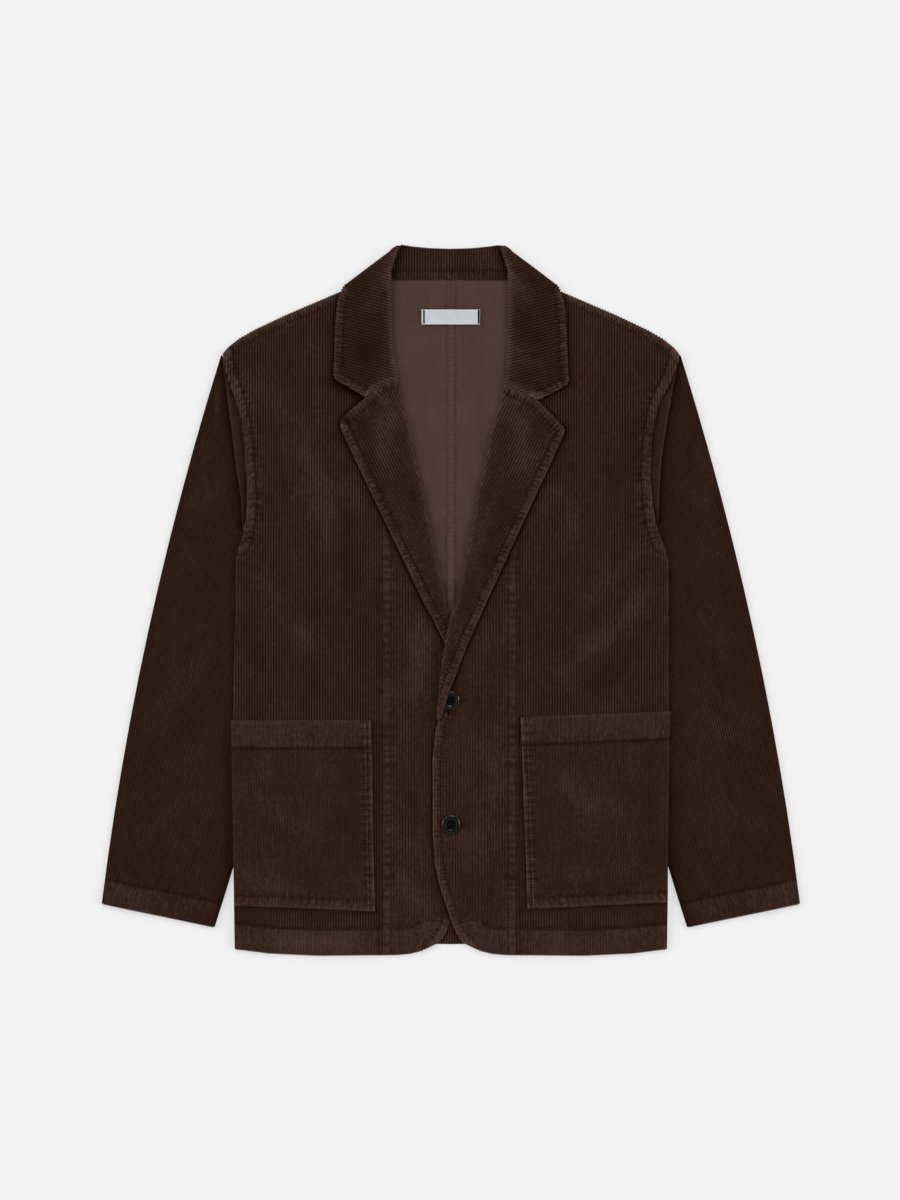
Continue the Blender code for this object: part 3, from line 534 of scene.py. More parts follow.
def spread(field):
    """A field with its gaps filled from what lies round them."""
    high, wide = field.shape
    while np.isnan(field).any():
        padded = np.pad(field, 1, constant_values=np.nan)
        near = np.array([padded[i : i + high, j : j + wide] for i in range(3) for j in range(3)])
        known = ~np.isnan(near)
        total = np.where(known, near, 0).sum(axis=0)
        count = known.sum(axis=0)
        field = np.where(np.isnan(field) & (count > 0), total / np.maximum(count, 1), field)
    return field


def soften(field, axis, times):
    """A field blurred along one of its axes."""
    for _ in range(times):
        wide = np.pad(field, [(1, 1) if k == axis else (0, 0) for k in (0, 1)], mode="edge")
        before, after = (wide[:-2], wide[2:]) if axis == 0 else (wide[:, :-2], wide[:, 2:])
        field = (before + 2 * field + after) / 4
    return field


class Form:
    """The outline of a frame piece from above, and the levels of its top and its underside."""

    WAYS = {"bottom": 1, "right": 0, "top": 1, "left": 0}  # the edges: 0 where a moves one, 1 where b does
    STEP = 4.0  # distance between the places along the wales where the levels are read
    BLUR = (0.125, 0.25, 0.25, 0.25, 0.125)  # shares of the places across one wale in its level

    def __init__(self, node, side, corners, grain, pitch, shows):
        self.side, self.sign, self.pitch = side, SIDES[side], pitch
        self.crispness = 1.0
        self.seed = 10 * len(node) + 5 * self.sign
        self.to_grain, self.from_grain = grain
        points, triangles = faces_of(node)
        points = points * (self.sign, 1, 1)
        faces = points[triangles]
        across = np.cross(faces[:, 1] - faces[:, 0], faces[:, 2] - faces[:, 0])
        rise = self.sign * across[:, 2] / np.maximum(np.linalg.norm(across, axis=1), 1e-9)
        chosen = shows(faces, rise)
        ring = outline(faces[chosen][:, :, :2])
        if area_of(np.stack(self.to_grain(*ring.T), axis=1)) < 0:
            ring = ring[::-1]
        self.ring = np.stack(self.to_grain(*ring.T), axis=1)
        self.inward = 1 if area_of(ring) > 0 else -1
        self.split(ring, corners)
        self.read(points, triangles, triangles[chosen])

    def split(self, ring, corners):
        """Names the four edge curves, from corner to corner."""
        at = [int(np.hypot(ring[:, 0] - x, ring[:, 1] - y).argmin()) for x, y in corners]
        count = len(ring)
        self.at = at
        self.plan, self.curves, self.runs = {}, {}, {}
        for (name, out), start, end in zip(self.WAYS.items(), at, at[1:] + at[:1]):
            run = [(start + k) % count for k in range((end - start) % count + 1)]
            self.runs[name] = run
            self.plan[name] = thinned(ring[run])
            curve = self.ring[run]
            curve = curve[np.argsort(curve[:, 1 - out], kind="stable")]
            self.curves[name] = (curve[:, 1 - out], curve[:, out])

    def edge(self, name, place):
        """Where an edge lies, at places along it."""
        return np.interp(place, *self.curves[name])

    def read(self, points, triangles, upper):
        """Looks down on the top and up at the underside at regular places."""
        low, high = self.ring.min(axis=0), self.ring.max(axis=0)
        self.a = np.arange(low[0] - self.pitch, high[0] + self.pitch, self.pitch / 4)
        self.b = np.arange(low[1] - self.STEP, high[1] + self.STEP, self.STEP)
        roof = BVHTree.FromPolygons(points.tolist(), upper.tolist())
        whole = BVHTree.FromPolygons(points.tolist(), triangles.tolist())
        top = np.full((len(self.a), len(self.b)), np.nan)
        under = top.copy()
        down, up = Vector((0, 0, -1)), Vector((0, 0, 1))
        for i, a in enumerate(self.a):
            for j, b in enumerate(self.b):
                x, y = self.from_grain(a, b)
                hit = roof.ray_cast(Vector((x, y, 100)), down)[0]
                if hit:
                    top[i, j] = hit.z
                    under[i, j] = whole.ray_cast(Vector((x, y, -100)), up)[0].z
        known = ~np.isnan(top)
        sums = np.zeros_like(top)
        shares = np.zeros_like(top)
        for k, weight in zip(range(-2, 3), self.BLUR):
            sums += weight * np.roll(np.where(known, top, 0), k, axis=0)
            shares += weight * np.roll(known, k, axis=0)
        level = np.where(known, sums / np.maximum(shares, 1e-6), np.nan)
        self.top = soften(soften(spread(level), 0, 6), 1, 1)
        self.under = spread(under)

    def sampled(self, field, a, b):
        """The value of a field of levels at some places."""
        i = np.clip((a - self.a[0]) / (self.pitch / 4), 0, len(self.a) - 1.001)
        j = np.clip((b - self.b[0]) / self.STEP, 0, len(self.b) - 1.001)
        u, v = i.astype(int), j.astype(int)
        i, j = i - u, j - v
        near = field[u, v] * (1 - j) + field[u, v + 1] * j
        far = field[u + 1, v] * (1 - j) + field[u + 1, v + 1] * j
        return near * (1 - i) + far * i

    def within(self, a, b, rim):
        """Brings places beyond the edges in to them, less the rim."""
        for _ in range(2):
            low, high = self.edge("bottom", a) + rim, self.edge("top", a) - rim
            b = np.clip(b, low, np.maximum(low, high))
            low, high = self.edge("left", b) + rim, self.edge("right", b) - rim
            a = np.clip(a, low, np.maximum(low, high))
        return a, b

    def nearest_edge(self, a, b):
        """The nearest place on the outline to each of some places."""
        p, q = self.ring, np.roll(self.ring, -1, axis=0)
        run = q - p
        reach = np.maximum((run**2).sum(axis=1), 1e-9)
        share = ((a[:, None] - p[:, 0]) * run[:, 0] + (b[:, None] - p[:, 1]) * run[:, 1]) / reach
        share = np.clip(share, 0, 1)
        x, y = p[:, 0] + share * run[:, 0], p[:, 1] + share * run[:, 1]
        best = ((x - a[:, None]) ** 2 + (y - b[:, None]) ** 2).argmin(axis=1)
        row = np.arange(len(a))
        return x[row, best], y[row, best]

    def moved(self, **ways):
        """The same form with some of its edges moved."""
        other = copy.copy(self)
        other.ring, other.curves = self.ring.copy(), dict(self.curves)
        for name, way in ways.items():
            place, value = self.curves[name]
            other.curves[name] = (place, value + way)
            other.ring[self.runs[name], self.WAYS[name]] += way
        return other

    def narrowed(self, margin):
        """The same form with its two side edges moved in, or out where the margin is negative."""
        other = self.moved(left=margin, right=-margin)
        if margin > 0:
            a, b = other.ring.T
            low = other.edge("left", b)
            other.ring[:, 0] = np.clip(a, low, np.maximum(low, other.edge("right", b)))
        return other

    def hollowed(self, wall, margin):
        """The same form with its underside this far below its top, except in a margin along its sides."""
        other = copy.copy(self)
        a, b = np.meshgrid(self.a, self.b, indexing="ij")
        inside = np.minimum(a - self.edge("left", b), self.edge("right", b) - a)
        share = np.clip((inside - margin) / 0.8, 0, 1)
        other.under = self.under + share * np.maximum(self.top - wall - self.under, 0)
        return other

    def plate(self, thickness):
        """The same form as a flat plate on its underside."""
        other = copy.copy(self)
        other.top = self.under + thickness
        return other

    def row(self, name, inset, low=-math.inf, high=math.inf):
        """(x, y) along one edge, this far inside it and from one y to another."""
        path = [p for p in self.plan[name] if low <= p[1] <= high]
        return moved_left(path, inset * self.inward)


@functools.cache
def form_of(part, side):
    """The form of a panel of the jacket."""
    if part in ("leaf", "stand", "fall"):
        node = "collar"
    elif part == "neck_label":
        node = part
    else:
        node = f"{part}_{side}"
    corners = CORNERS[node if part in ("lapel", "pocket") else part]
    grain, pitch, shows = UPRIGHT, PITCHES.get(part, PITCH), upward
    if part == "sleeve":
        grain, shows = along_sleeve(node), lies_above(TUBE_LEVEL)
    elif part == "lapel":
        grain = leaning(LAPEL_GRAIN)
    elif part == "pocket":
        grain = on_pocket(corners, PITCH)
    elif part == "leaf":
        grain, shows = RISING, lies_above(LEAF_LEVEL)
    elif part == "stand":
        shows = on_stand
    elif part == "fall":
        shows = downward
    form = Form(node, side, corners, grain, pitch, shows)
    form.crispness = CRISPNESS.get(part, 1.0)
    return form.narrowed(-OVERLAPS[part]) if part in OVERLAPS else form


def upward(faces, rise):
    """Of the faces, given by their corners, and of their normals' rise: those that face up."""
    return rise > 0.05


def downward(faces, rise):
    """The faces that lie on the table."""
    return (rise < -0.9) & (faces[:, :, 2].max(axis=1) < 0.05)


def lies_above(level):
    """The faces on one side of the jacket that face up above a level."""

    def shows(faces, rise):
        return (rise > 0.05) & (faces[:, :, 2].min(axis=1) > level) & (faces[:, :, 0].min(axis=1) > 0)

    return shows


def on_stand(faces, rise):
    """The faces of the collar's stand."""
    heights = faces[:, :, 2]
    return (rise > 0.5) & (heights.max(axis=1) < LEAF_LEVEL) & (heights.min(axis=1) > 2.5)


# ---- Relief: what sewing, folds and wear do to a panel's plain wales, and the light and shade painted on them ----


class Relief:
    """What a cloth does at some places: its lift, how flat its wales are pressed, and its tone, which holds
    painted light and shade besides wear and uneven nap.
    """

    def __init__(self, x, y, wales, sewing):
        """Takes the places, their count in wales across the cloth, and the settings of the sewing."""
        self.x, self.y, self.wales, self.sewing = x, y, wales, sewing
        self.lift, self.flat, self.tone = np.zeros_like(x), np.zeros_like(x), np.ones_like(x)

    def near(self, path, reach):
        """Which places lie near a path, and their distance from it and along it."""
        across, up = zip(*path)
        close = (self.x > min(across) - reach) & (self.x < max(across) + reach)
        close &= (self.y > min(up) - reach) & (self.y < max(up) + reach)
        chosen = np.flatnonzero(close)
        return (chosen, *beside(path, self.x[chosen], self.y[chosen]))

    def sewn(self, edge, row_of, seed):
        """A row of stitches along an edge draws the cloth down, and the cloth puckers on both sides of it,
        painted lighter on the puckers' crests and darker in their troughs and in the row.
        """
        inset, pucker, reach = row_of.inset, row_of.pucker, row_of.reach
        at, away, along = self.near(edge, inset + 2.5 * reach)
        stitch, height = self.sewing.stitch / MM, self.sewing.pucker / MM * pucker
        row, next_to_row = hump(away - inset, 1.3), hump(away - inset, 3.2)
        beads = np.cos(2 * np.pi * (along + wobble(along, 30.0, seed + 2)) / stitch)
        step = row_of.wave
        slip = 0.5 * wobble(along, 1.8 * step, seed + 3) + 0.25 * wobble(away, 4.0, seed + 6)
        wave = 0.75 * np.cos(2 * np.pi * (along + step * slip) / step)
        wave *= 0.6 + 0.4 * wobble(along, 1.8 * step, seed + 4)
        wave += 0.5 * clouds(along, away, 3.0, seed) + 0.2 * wobble(along, 11.0, seed + 1)
        margin, inside = np.clip(away / inset, 0, 1), away < inset
        beyond = np.exp(-np.clip(away - inset, 0, None) / reach * 1.6)
        strength = np.where(inside, 0.3 + 0.7 * margin, beyond) * (1 - 0.8 * row)
        lift = height * (wave * strength + 0.5 * beads * next_to_row)
        lift += PUFF * np.sin(np.pi * margin) * inside + 0.3 * PUFF * hump(away - inset - 3.5, 2.2)
        share = min(1.0, 0.4 + 0.6 * pucker)
        self.lift[at] += lift - self.sewing.depth / MM * row * share
        pressed = row_of.press + 0.6 * pucker * strength
        self.flat[at] = np.maximum(self.flat[at], 0.8 * row * share + pressed * inside)
        worn = row_of.worn * (1 + 0.3 * wobble(along, 35.0, seed + 5)) * inside
        # painted light on the puckers' crests and painted shade in their troughs, with the worn margin
        # lighter and painted shade along the row
        tone = worn + pucker * (0.72 * wave * strength + 0.25 * beads * next_to_row)
        self.tone[at] *= np.maximum(0.3, 1 + tone - row_of.dark * hump(away - inset, 1.5))

    def fold(self, path, width, height, seed, tone):
        """A soft uneven fold along a path, raised, or sunk where its height is negative, painted lighter on
        it as painted sheen, or darker as painted shade where its tone is negative.
        """
        at, away, along = self.near(path, 3 * width)
        run = sum(math.dist(p, q) for p, q in zip(path, path[1:]))
        ends = np.sin(np.pi * np.clip(along / run, 0.02, 0.98)) ** 0.6
        swell = ends * (1 + 0.3 * wobble(along, 24.0, seed))
        body = hump(away, width * (1 + 0.2 * wobble(along, 17.0, seed + 1))) * swell
        self.lift[at] += height * body
        self.tone[at] *= 1 + tone * body

    def tuck(self, seam, fold):
        """Cloth drawn out of a seam stands over the rest as far as a fold, with its wales aslant, painted
        shade by the seam, a painted highlight on the fold and a painted shadow beyond it.
        """
        drawn, short = drawn_out(fold, self.x, self.y)
        from_seam = beside(seam, self.x, self.y)[0]
        rise = TUCK_HEIGHT * np.clip(from_seam / 6, 0, 1) * np.clip(short / 1.2, 0, 1) ** 0.5
        self.lift += np.where(drawn, rise, 0)
        slanted = (self.x * math.sin(TUCK_LEAN) + self.y * math.cos(TUCK_LEAN)) / TUCK_PITCH
        self.wales = np.where(drawn, slanted, self.wales)
        self.flat = np.where(drawn, -0.5, self.flat)
        # painted shade beside the seam and a painted highlight on the fold; beyond the fold, a painted shadow
        over = 1.0 - 0.7 * np.exp(-from_seam / 2.4) + 0.5 * hump(short, 1.5)
        beside_it = (self.y > fold[0][1]) * np.clip((fold[-1][1] - self.y) / 20, 0, 1)
        under = self.tone * (1 - 0.92 * np.exp(np.minimum(short, 0) / 4.2) * beside_it)
        self.tone = np.where(drawn, over, under)

    def shade(self, path, reach, tone):
        """Painted shade next to a path, or painted light where the tone is above zero."""
        at, away, _ = self.near(path, 4 * reach)
        self.tone[at] *= 1 + tone * np.exp(-away / reach)


# ---- Panels ----

BLOCK = 18 * MM  # the underside's flat parts are joined up in blocks of this size
MARKS = ("level", "rim")  # a point's values while its panel is made
# the tone carries painted light and shade as well as wear
LOOKS = ("ridge", "tone")  # and those that the materials read


def places(low, high, step, *bands):
    """Places from low to beyond high, closer together in bands of (from, to, step)."""
    found = [low]
    while found[-1] < high:
        here = found[-1]
        found.append(here + next((s for start, end, s in bands if start <= here < end), step))
    return np.array(found)


def wale_places(form):
    """Places across the wales that fall on every crest and groove."""
    step = form.pitch / 4
    low, high = form.ring[:, 0].min(), form.ring[:, 0].max()
    return np.arange(math.floor(low / step), math.ceil(high / step) + 1) * step


def points_of(bm):
    """The places of a bmesh's points."""
    return np.array([v.co for v in bm.verts])


def move_points(bm, x, y, z):
    """Moves a bmesh's points to these places."""
    for vert, place in zip(bm.verts, np.stack([x, y, z], axis=1).tolist()):
        vert.co = place


def layer_values(bm, name):
    """The value of each point in a layer."""
    layer = bm.verts.layers.float[name]
    return np.array([v[layer] for v in bm.verts])


def fill_layer(bm, name, values):
    """Gives each point its value in a layer."""
    layer = bm.verts.layers.float[name]
    for vert, value in zip(bm.verts, values.tolist()):
        vert[layer] = value


def new_points(made):
    """Of what an operator has made, the points."""
    return [item for item in made["geom"] if isinstance(item, bmesh.types.BMVert)]


def flat_grid(form, columns, rows, rim, fine):
    """A grid of (a, b) brought within a form's outline, with closer rows where fine is true of (x, y)."""
    bm = bmesh.new()
    bmesh.ops.create_grid(bm, x_segments=len(columns) - 1, y_segments=len(rows) - 1, size=1.0)
    spots = (points_of(bm) + 1) / 2
    a = columns[np.rint(spots[:, 0] * (len(columns) - 1)).astype(int)]
    b = rows[np.rint(spots[:, 1] * (len(rows) - 1)).astype(int)]
    a, b = form.within(a, b, rim)
    move_points(bm, a, b, np.zeros_like(a))
    bmesh.ops.remove_doubles(bm, verts=bm.verts, dist=0.04)
    if fine:
        long = []
        for edge in bm.edges:
            p, q = edge.verts[0].co, edge.verts[1].co
            if abs(p.y - q.y) > max(2.2, 2 * abs(p.x - q.x)):
                long.append((edge, (p.x + q.x) / 2, (p.y + q.y) / 2))
        edges, a, b = zip(*long)
        chosen = fine(*form.from_grain(np.array(a), np.array(b)))
        cut = [edge for edge, inside in zip(edges, chosen) if inside]
        bmesh.ops.subdivide_edges(bm, edges=cut, cuts=2)
    return bm


def thicken(bm):
    """Closes a flat grid round its edge: its level is 1 on top, 0 underneath and between them on the rim."""
    for name in MARKS + LOOKS:
        bm.verts.layers.float.new(name)
    level, rim = (bm.verts.layers.float[name] for name in MARKS)
    for edge in bm.edges:
        if edge.is_boundary:
            for vert in edge.verts:
                vert[rim] = 1.0
    made = bmesh.ops.extrude_face_region(bm, geom=bm.faces[:], use_keep_orig=True)
    for vert in new_points(made):
        vert[level] = 1.0
    walls = [edge for edge in bm.edges if edge.verts[0][level] != edge.verts[1][level]]
    bmesh.ops.subdivide_edges(bm, edges=walls, cuts=2)


def wear(form, here, a, b):
    """Makes the nap uneven, wale by wale and in patches, and says how plainly the wales stand out."""
    number = np.rint(a / form.pitch)
    streak = 0.5 * wobble(b + 1013.7 * number, 17.0, form.seed)
    streak += 0.5 * wobble(b + 517.3 * number, 5.5, form.seed + 1)
    nap = clouds(a, b * 0.7, 17.0, form.seed + 2)
    worn = np.clip(0.5 - 0.5 * clouds(a, b * 0.6, 26.0, form.seed + 3), 0, 1)
    here.tone *= 1 + 0.08 * streak + 0.07 * nap
    crisp = form.crispness * (1 + 0.3 * clouds(a, b, 55.0, form.seed + 4)) * (1 - 0.45 * worn)
    return crisp * (1 - 0.85 * np.clip(here.flat, -0.5, 1))


def to_outline(form, a, b, rim):
    """The way from places on a panel's rim to its outline, or to a corner where one is near."""
    out_a, out_b = form.nearest_edge(a, b)
    for corner_a, corner_b in form.ring[form.at]:
        close = np.hypot(a - corner_a, b - corner_b) < 1.5 * rim
        out_a[close], out_b[close] = corner_a, corner_b
    return out_a - a, out_b - b


def settle(bm, form, relief, rim, wale, scallop):
    """Moves a thickened grid from (a, b) to its place in the jacket."""
    a, b, _ = points_of(bm).T
    level, edge = layer_values(bm, "level"), layer_values(bm, "rim") > 0.5
    here = Relief(*form.from_grain(a, b), a / form.pitch, bpy.context.scene.jacket_sewing)
    relief(here)
    ridge = np.abs(np.cos(np.pi * here.wales)) ** WALE_ROUND
    crisp = wear(form, here, a, b)
    top = form.sampled(form.top, a, b) + wale * (ridge - 0.5) * crisp + here.lift
    under = form.sampled(form.under, a, b)
    top = np.maximum(top, under + 0.5)
    step_a, step_b = to_outline(form, a[edge], b[edge], rim)
    reach = np.maximum(np.hypot(step_a, step_b), 1e-6)
    stays = np.interp(level[edge], (0, 1 / 3, 2 / 3, 1), (0.4, 0.0, 0.3, 1.0))
    across = (level[edge] > 0.2) & (np.abs(step_b) > 1.5 * np.abs(step_a))
    out = (1 - stays) + scallop * (ridge[edge] - 0.5) * across / reach
    a[edge] += step_a * out
    b[edge] += step_b * out
    z = np.where(level > 0.5, top, under)
    steps = (under[edge], (under[edge] + top[edge]) / 2, top[edge] - 0.3 * rim, top[edge])
    z[edge] = np.choose(np.rint(level[edge] * 3).astype(int), steps)
    x, y = form.from_grain(a, b)
    move_points(bm, x * form.sign * MM, y * MM, z * MM)
    fill_layer(bm, "ridge", WALE_MEAN + (ridge - WALE_MEAN) * crisp)
    fill_layer(bm, "tone", here.tone)


def close_panel(bm, skins):
    """Gives the top and the underside their materials, and joins up the underside's flat parts in blocks."""
    level = bm.verts.layers.float["level"]
    for face in bm.faces:
        below = all(v[level] < 0.1 for v in face.verts)
        face.smooth = not below
        face.material_index = skins[below]

    def block(face):
        middle = face.calc_center_median()
        return face.index if face.smooth else (middle.x // BLOCK, middle.y // BLOCK)

    bm.faces.index_update()
    inner = [e for e in bm.edges if len({block(face) for face in e.link_faces}) == 1]
    below = [v for v in bm.verts if not any(face.smooth for face in v.link_faces)]
    bmesh.ops.dissolve_limit(bm, angle_limit=math.radians(0.6), edges=inner, verts=below)
    bmesh.ops.recalc_face_normals(bm, faces=bm.faces[:])
    for name in MARKS:
        bm.verts.layers.float.remove(bm.verts.layers.float[name])


def panel(form, rows, relief, columns=None, fine=None, rim=None, skins=(0, 1)):
    """A panel of cloth on its form, as a bmesh whose two sides have the materials of these numbers.

    Its wales stand out unless it is given columns of its own.
    """
    cloth = bpy.context.scene.jacket_cloth
    rim = cloth.rim / MM if rim is None else rim
    wale, scallop = (cloth.wale / MM, SCALLOP) if columns is None else (0.0, 0.0)
    bm = flat_grid(form, wale_places(form) if columns is None else columns, rows, rim, fine)
    thicken(bm)
    settle(bm, form, relief, rim, wale, scallop)
    close_panel(bm, skins)
    return bm


# ---- Objects ----


def mesh_of(bm, name):
    """The mesh of a bmesh, which ends here."""
    mesh = bpy.data.meshes.new(name)
    bm.to_mesh(mesh)
    bm.free()
    return mesh


def put(name, data):
    """A new object in the scene."""
    thing = bpy.data.objects.new(name, data)
    bpy.context.scene.collection.objects.link(thing)
    return thing


def dress(bm, name, materials, nodes):
    """Makes an object of a bmesh in place of nodes of the frame.
    """
    thing = put(name, mesh_of(bm, name))
    for material in materials:
        thing.data.materials.append(material)
    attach(thing, "root")
    if nodes:
        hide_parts(*nodes)
    return thing


# ---- Materials ----

SHEEN = (0.9, 0.44, 0.26, 1.0)
INSIDE_PATCH = (0.070, 0.038, 0.030, 1.0)  # the inner side where it has faded
HORN_STREAK = (0.016, 0.014, 0.013, 1.0)
LABEL_THREAD = ("thread_black", (0.004, 0.004, 0.005))
BUTTON_THREAD = ("thread_dark", (0.004, 0.003, 0.003))


class Nodes:
    """Adds shader nodes to a tree. An input is a value, or the socket that it is wired to."""

    def __init__(self, tree):
        self.tree = tree

    def __call__(self, kind, inputs=None, **settings):
        made = self.tree.nodes.new("ShaderNode" + kind)
        for name, value in settings.items():
            setattr(made, name, value)
        for key, value in (inputs or {}).items():
            if isinstance(value, bpy.types.NodeSocket):
                self.tree.links.new(value, made.inputs[key])
            else:
                made.inputs[key].default_value = value
        return made

    def wire(self, inputs, **sockets):
        """Wires sockets to the inputs of these names."""
        for name, socket in sockets.items():
            self.tree.links.new(socket, inputs[name.replace("_", " ")])

    def place(self):
        """The place on the jacket, in metres."""
        return self("TexCoord").outputs["Object"]

    def told(self, name):
        """The value that the mesh's points have in a layer."""
        return self("Attribute", attribute_name=name).outputs["Fac"]

    def parts(self, vector):
        """The outputs X, Y and Z of a vector."""
        return self("SeparateXYZ", {0: vector}).outputs

    def maths(self, operation, *values):
        """The result of an operation on numbers."""
        return self("Math", dict(enumerate(values)), operation=operation).outputs[0]

    def mixed(self, share, first, second):
        """A colour between two others."""
        return self("Mix", {0: share, 6: first, 7: second}, data_type="RGBA").outputs[2]

    def noise(self, place, wave, detail):
        """Clouds from 0 to 1, with a swell about every `wave` millimetres."""
        return self("TexNoise", {"Vector": place, "Scale": 1000 / wave, "Detail": detail}).outputs["Fac"]

    def ripple(self, operation, place, wave):
        """A sine or cosine with this wavelength in metres."""
        return self.maths(operation, self.maths("MULTIPLY", place, 2 * math.pi / wave))

    def scaled(self, vector, share):
        """A vector or colour times a number."""
        return self("VectorMath", {0: vector, "Scale": share}, operation="SCALE").outputs[0]

    def times(self, vector, other):
        """A vector or colour times another, part by part."""
        return self("VectorMath", {0: vector, 1: other}, operation="MULTIPLY").outputs[0]

    def bump(self, height, strength, distance, under=None):
        """The normal of a surface with this relief, on top of a normal that lies under it."""
        inputs = {"Height": height, "Strength": strength, "Distance": distance}
        if under:
            inputs["Normal"] = under
        return self("Bump", inputs).outputs[0]


def solid(values):
    """A colour with its alpha."""
    return (*values, 1.0)


def new_group(name, inputs, outputs):
    """An empty shader node group with its sockets, given as {name: default}, and its nodes."""
    group = bpy.data.node_groups.new(name, "ShaderNodeTree")
    kinds = {float: "NodeSocketFloat", tuple: "NodeSocketColor"}
    for way, sockets in (("INPUT", inputs), ("OUTPUT", outputs)):
        for label, value in sockets.items():
            made = group.interface.new_socket(name=label, in_out=way, socket_type=kinds[type(value)])
            made.default_value = value
    nodes = Nodes(group)
    start = group.nodes.new("NodeGroupInput")
    end = group.nodes.new("NodeGroupOutput")
    return nodes, start.outputs, end.inputs


@functools.cache
def pile_group():
    """Colour, roughness and height of the brushed pile, from the height of the wale under it, darker in its
    grooves as painted shade.
    """
    grey = (0.1, 0.1, 0.1, 1.0)
    inputs = dict.fromkeys(("Ridge", "Groove", "Worn"), grey)
    inputs |= {"Height": 1.0, "Tone": 1.0, "Patches": 0.15}
    nodes, given, result = new_group("pile", inputs, {"Color": grey, "Roughness": 0.8, "Fibre": 0.0})
    place = nodes.place()
    along = nodes.times(place, (1.0, 0.75, 1.0))
    broad, blotch, speck = (nodes.noise(along, *kind) for kind in ((52.0, 4.0), (9.0, 2.0), (3.3, 1.0)))
    fibre = nodes.noise(nodes.times(place, (1.0, 0.6, 1.0)), 0.9, 3.0)
    drift = nodes.maths("MULTIPLY_ADD", broad, 0.8, -1.38)
    drift = nodes.maths("MULTIPLY_ADD", blotch, 0.45, drift)
    drift = nodes.maths("MULTIPLY_ADD", speck, 1.5, drift)
    drift = nodes.maths("MULTIPLY", drift, given["Patches"])
    drift = nodes.maths("MULTIPLY_ADD", fibre, 0.5, nodes.maths("ADD", drift, 0.75))
    shade = nodes.maths("MULTIPLY", drift, given["Tone"])
    height = nodes.maths("POWER", given["Height"], 1.9)
    # painted shade: the groove colour is much darker than the ridge's
    base = nodes.mixed(height, given["Groove"], given["Ridge"])
    # a darker pile is redder too
    powers = [nodes.maths("POWER", shade, power) for power in (1.0, 1.5, 1.9)]
    shaded = nodes.times(base, nodes("CombineXYZ", dict(enumerate(powers))).outputs[0])
    # where the tone is lighter, from wear or painted light, the pile turns to the worn colour, which is its
    # painted sheen there as well
    wear_and_sheen_share = nodes.maths("MULTIPLY_ADD", shade, 0.8, -0.8)
    wear_and_sheen_share = nodes.maths("MINIMUM", nodes.maths("MULTIPLY", nodes.maths("MAXIMUM", wear_and_sheen_share, 0.0), height), 0.6)
    nodes.wire(
        result,
        Color=nodes.mixed(wear_and_sheen_share, shaded, given["Worn"]),
        Roughness=nodes.maths("MULTIPLY_ADD", blotch, -0.15, 0.92),
        Fibre=nodes.maths("ADD", fibre, nodes.maths("MULTIPLY", blotch, 0.5)),
    )
    return nodes.tree


def new_material(name):
    """An empty material's nodes, and its Principled BSDF."""
    material = bpy.data.materials.new(name)
    material.use_nodes = True
    tree = material.node_tree
    return material, Nodes(tree), tree.nodes["Principled BSDF"]


def set_inputs(shader, **values):
    """Sets the inputs of these names."""
    for name, value in values.items():
        shader.inputs[name.replace("_", " ")].default_value = value


def add_pile(material, nodes, shader, height, tone, under=None):
    """Finishes a corduroy material whose wales have this height and tone, and maybe a normal of their own."""
    cloth = bpy.context.scene.jacket_cloth
    inputs = {name: solid(getattr(cloth, name.lower())) for name in ("Ridge", "Groove", "Worn")}
    inputs |= {"Patches": cloth.patches, "Height": height, "Tone": tone}
    pile = nodes("Group", inputs, node_tree=pile_group()).outputs
    normal = nodes.bump(pile["Fibre"], 0.5, 0.35 * MM, under)
    nodes.wire(shader.inputs, Base_Color=pile["Color"], Roughness=pile["Roughness"], Normal=normal)
    set_inputs(shader, Sheen_Weight=0.08, Sheen_Roughness=0.45, Sheen_Tint=SHEEN, Specular_IOR_Level=0.06)
    return material


@functools.cache
def corduroy():
    """The cloth's outer side, whose wales the mesh has."""
    material, nodes, shader = new_material("corduroy")
    return add_pile(material, nodes, shader, nodes.told("ridge"), nodes.told("tone"))


@functools.cache
def corduroy_behind(lean):
    """The same side where it faces the table: its wales lean outward as they fall, by this angle."""
    material, nodes, shader = new_material(f"corduroy_behind_{math.degrees(lean):.0f}")
    parts = nodes.parts(nodes.place())
    across = nodes.maths("MULTIPLY_ADD", parts["Y"], math.tan(lean), nodes.maths("ABSOLUTE", parts["X"]))
    turn = nodes.maths("MULTIPLY", across, math.pi * math.cos(lean) / (PITCH * MM))
    height = nodes.maths("POWER", nodes.maths("ABSOLUTE", nodes.maths("COSINE", turn)), WALE_ROUND)
    wale = nodes.bump(height, 1.0, bpy.context.scene.jacket_cloth.wale)
    return add_pile(material, nodes, shader, height, 1.0, wale)


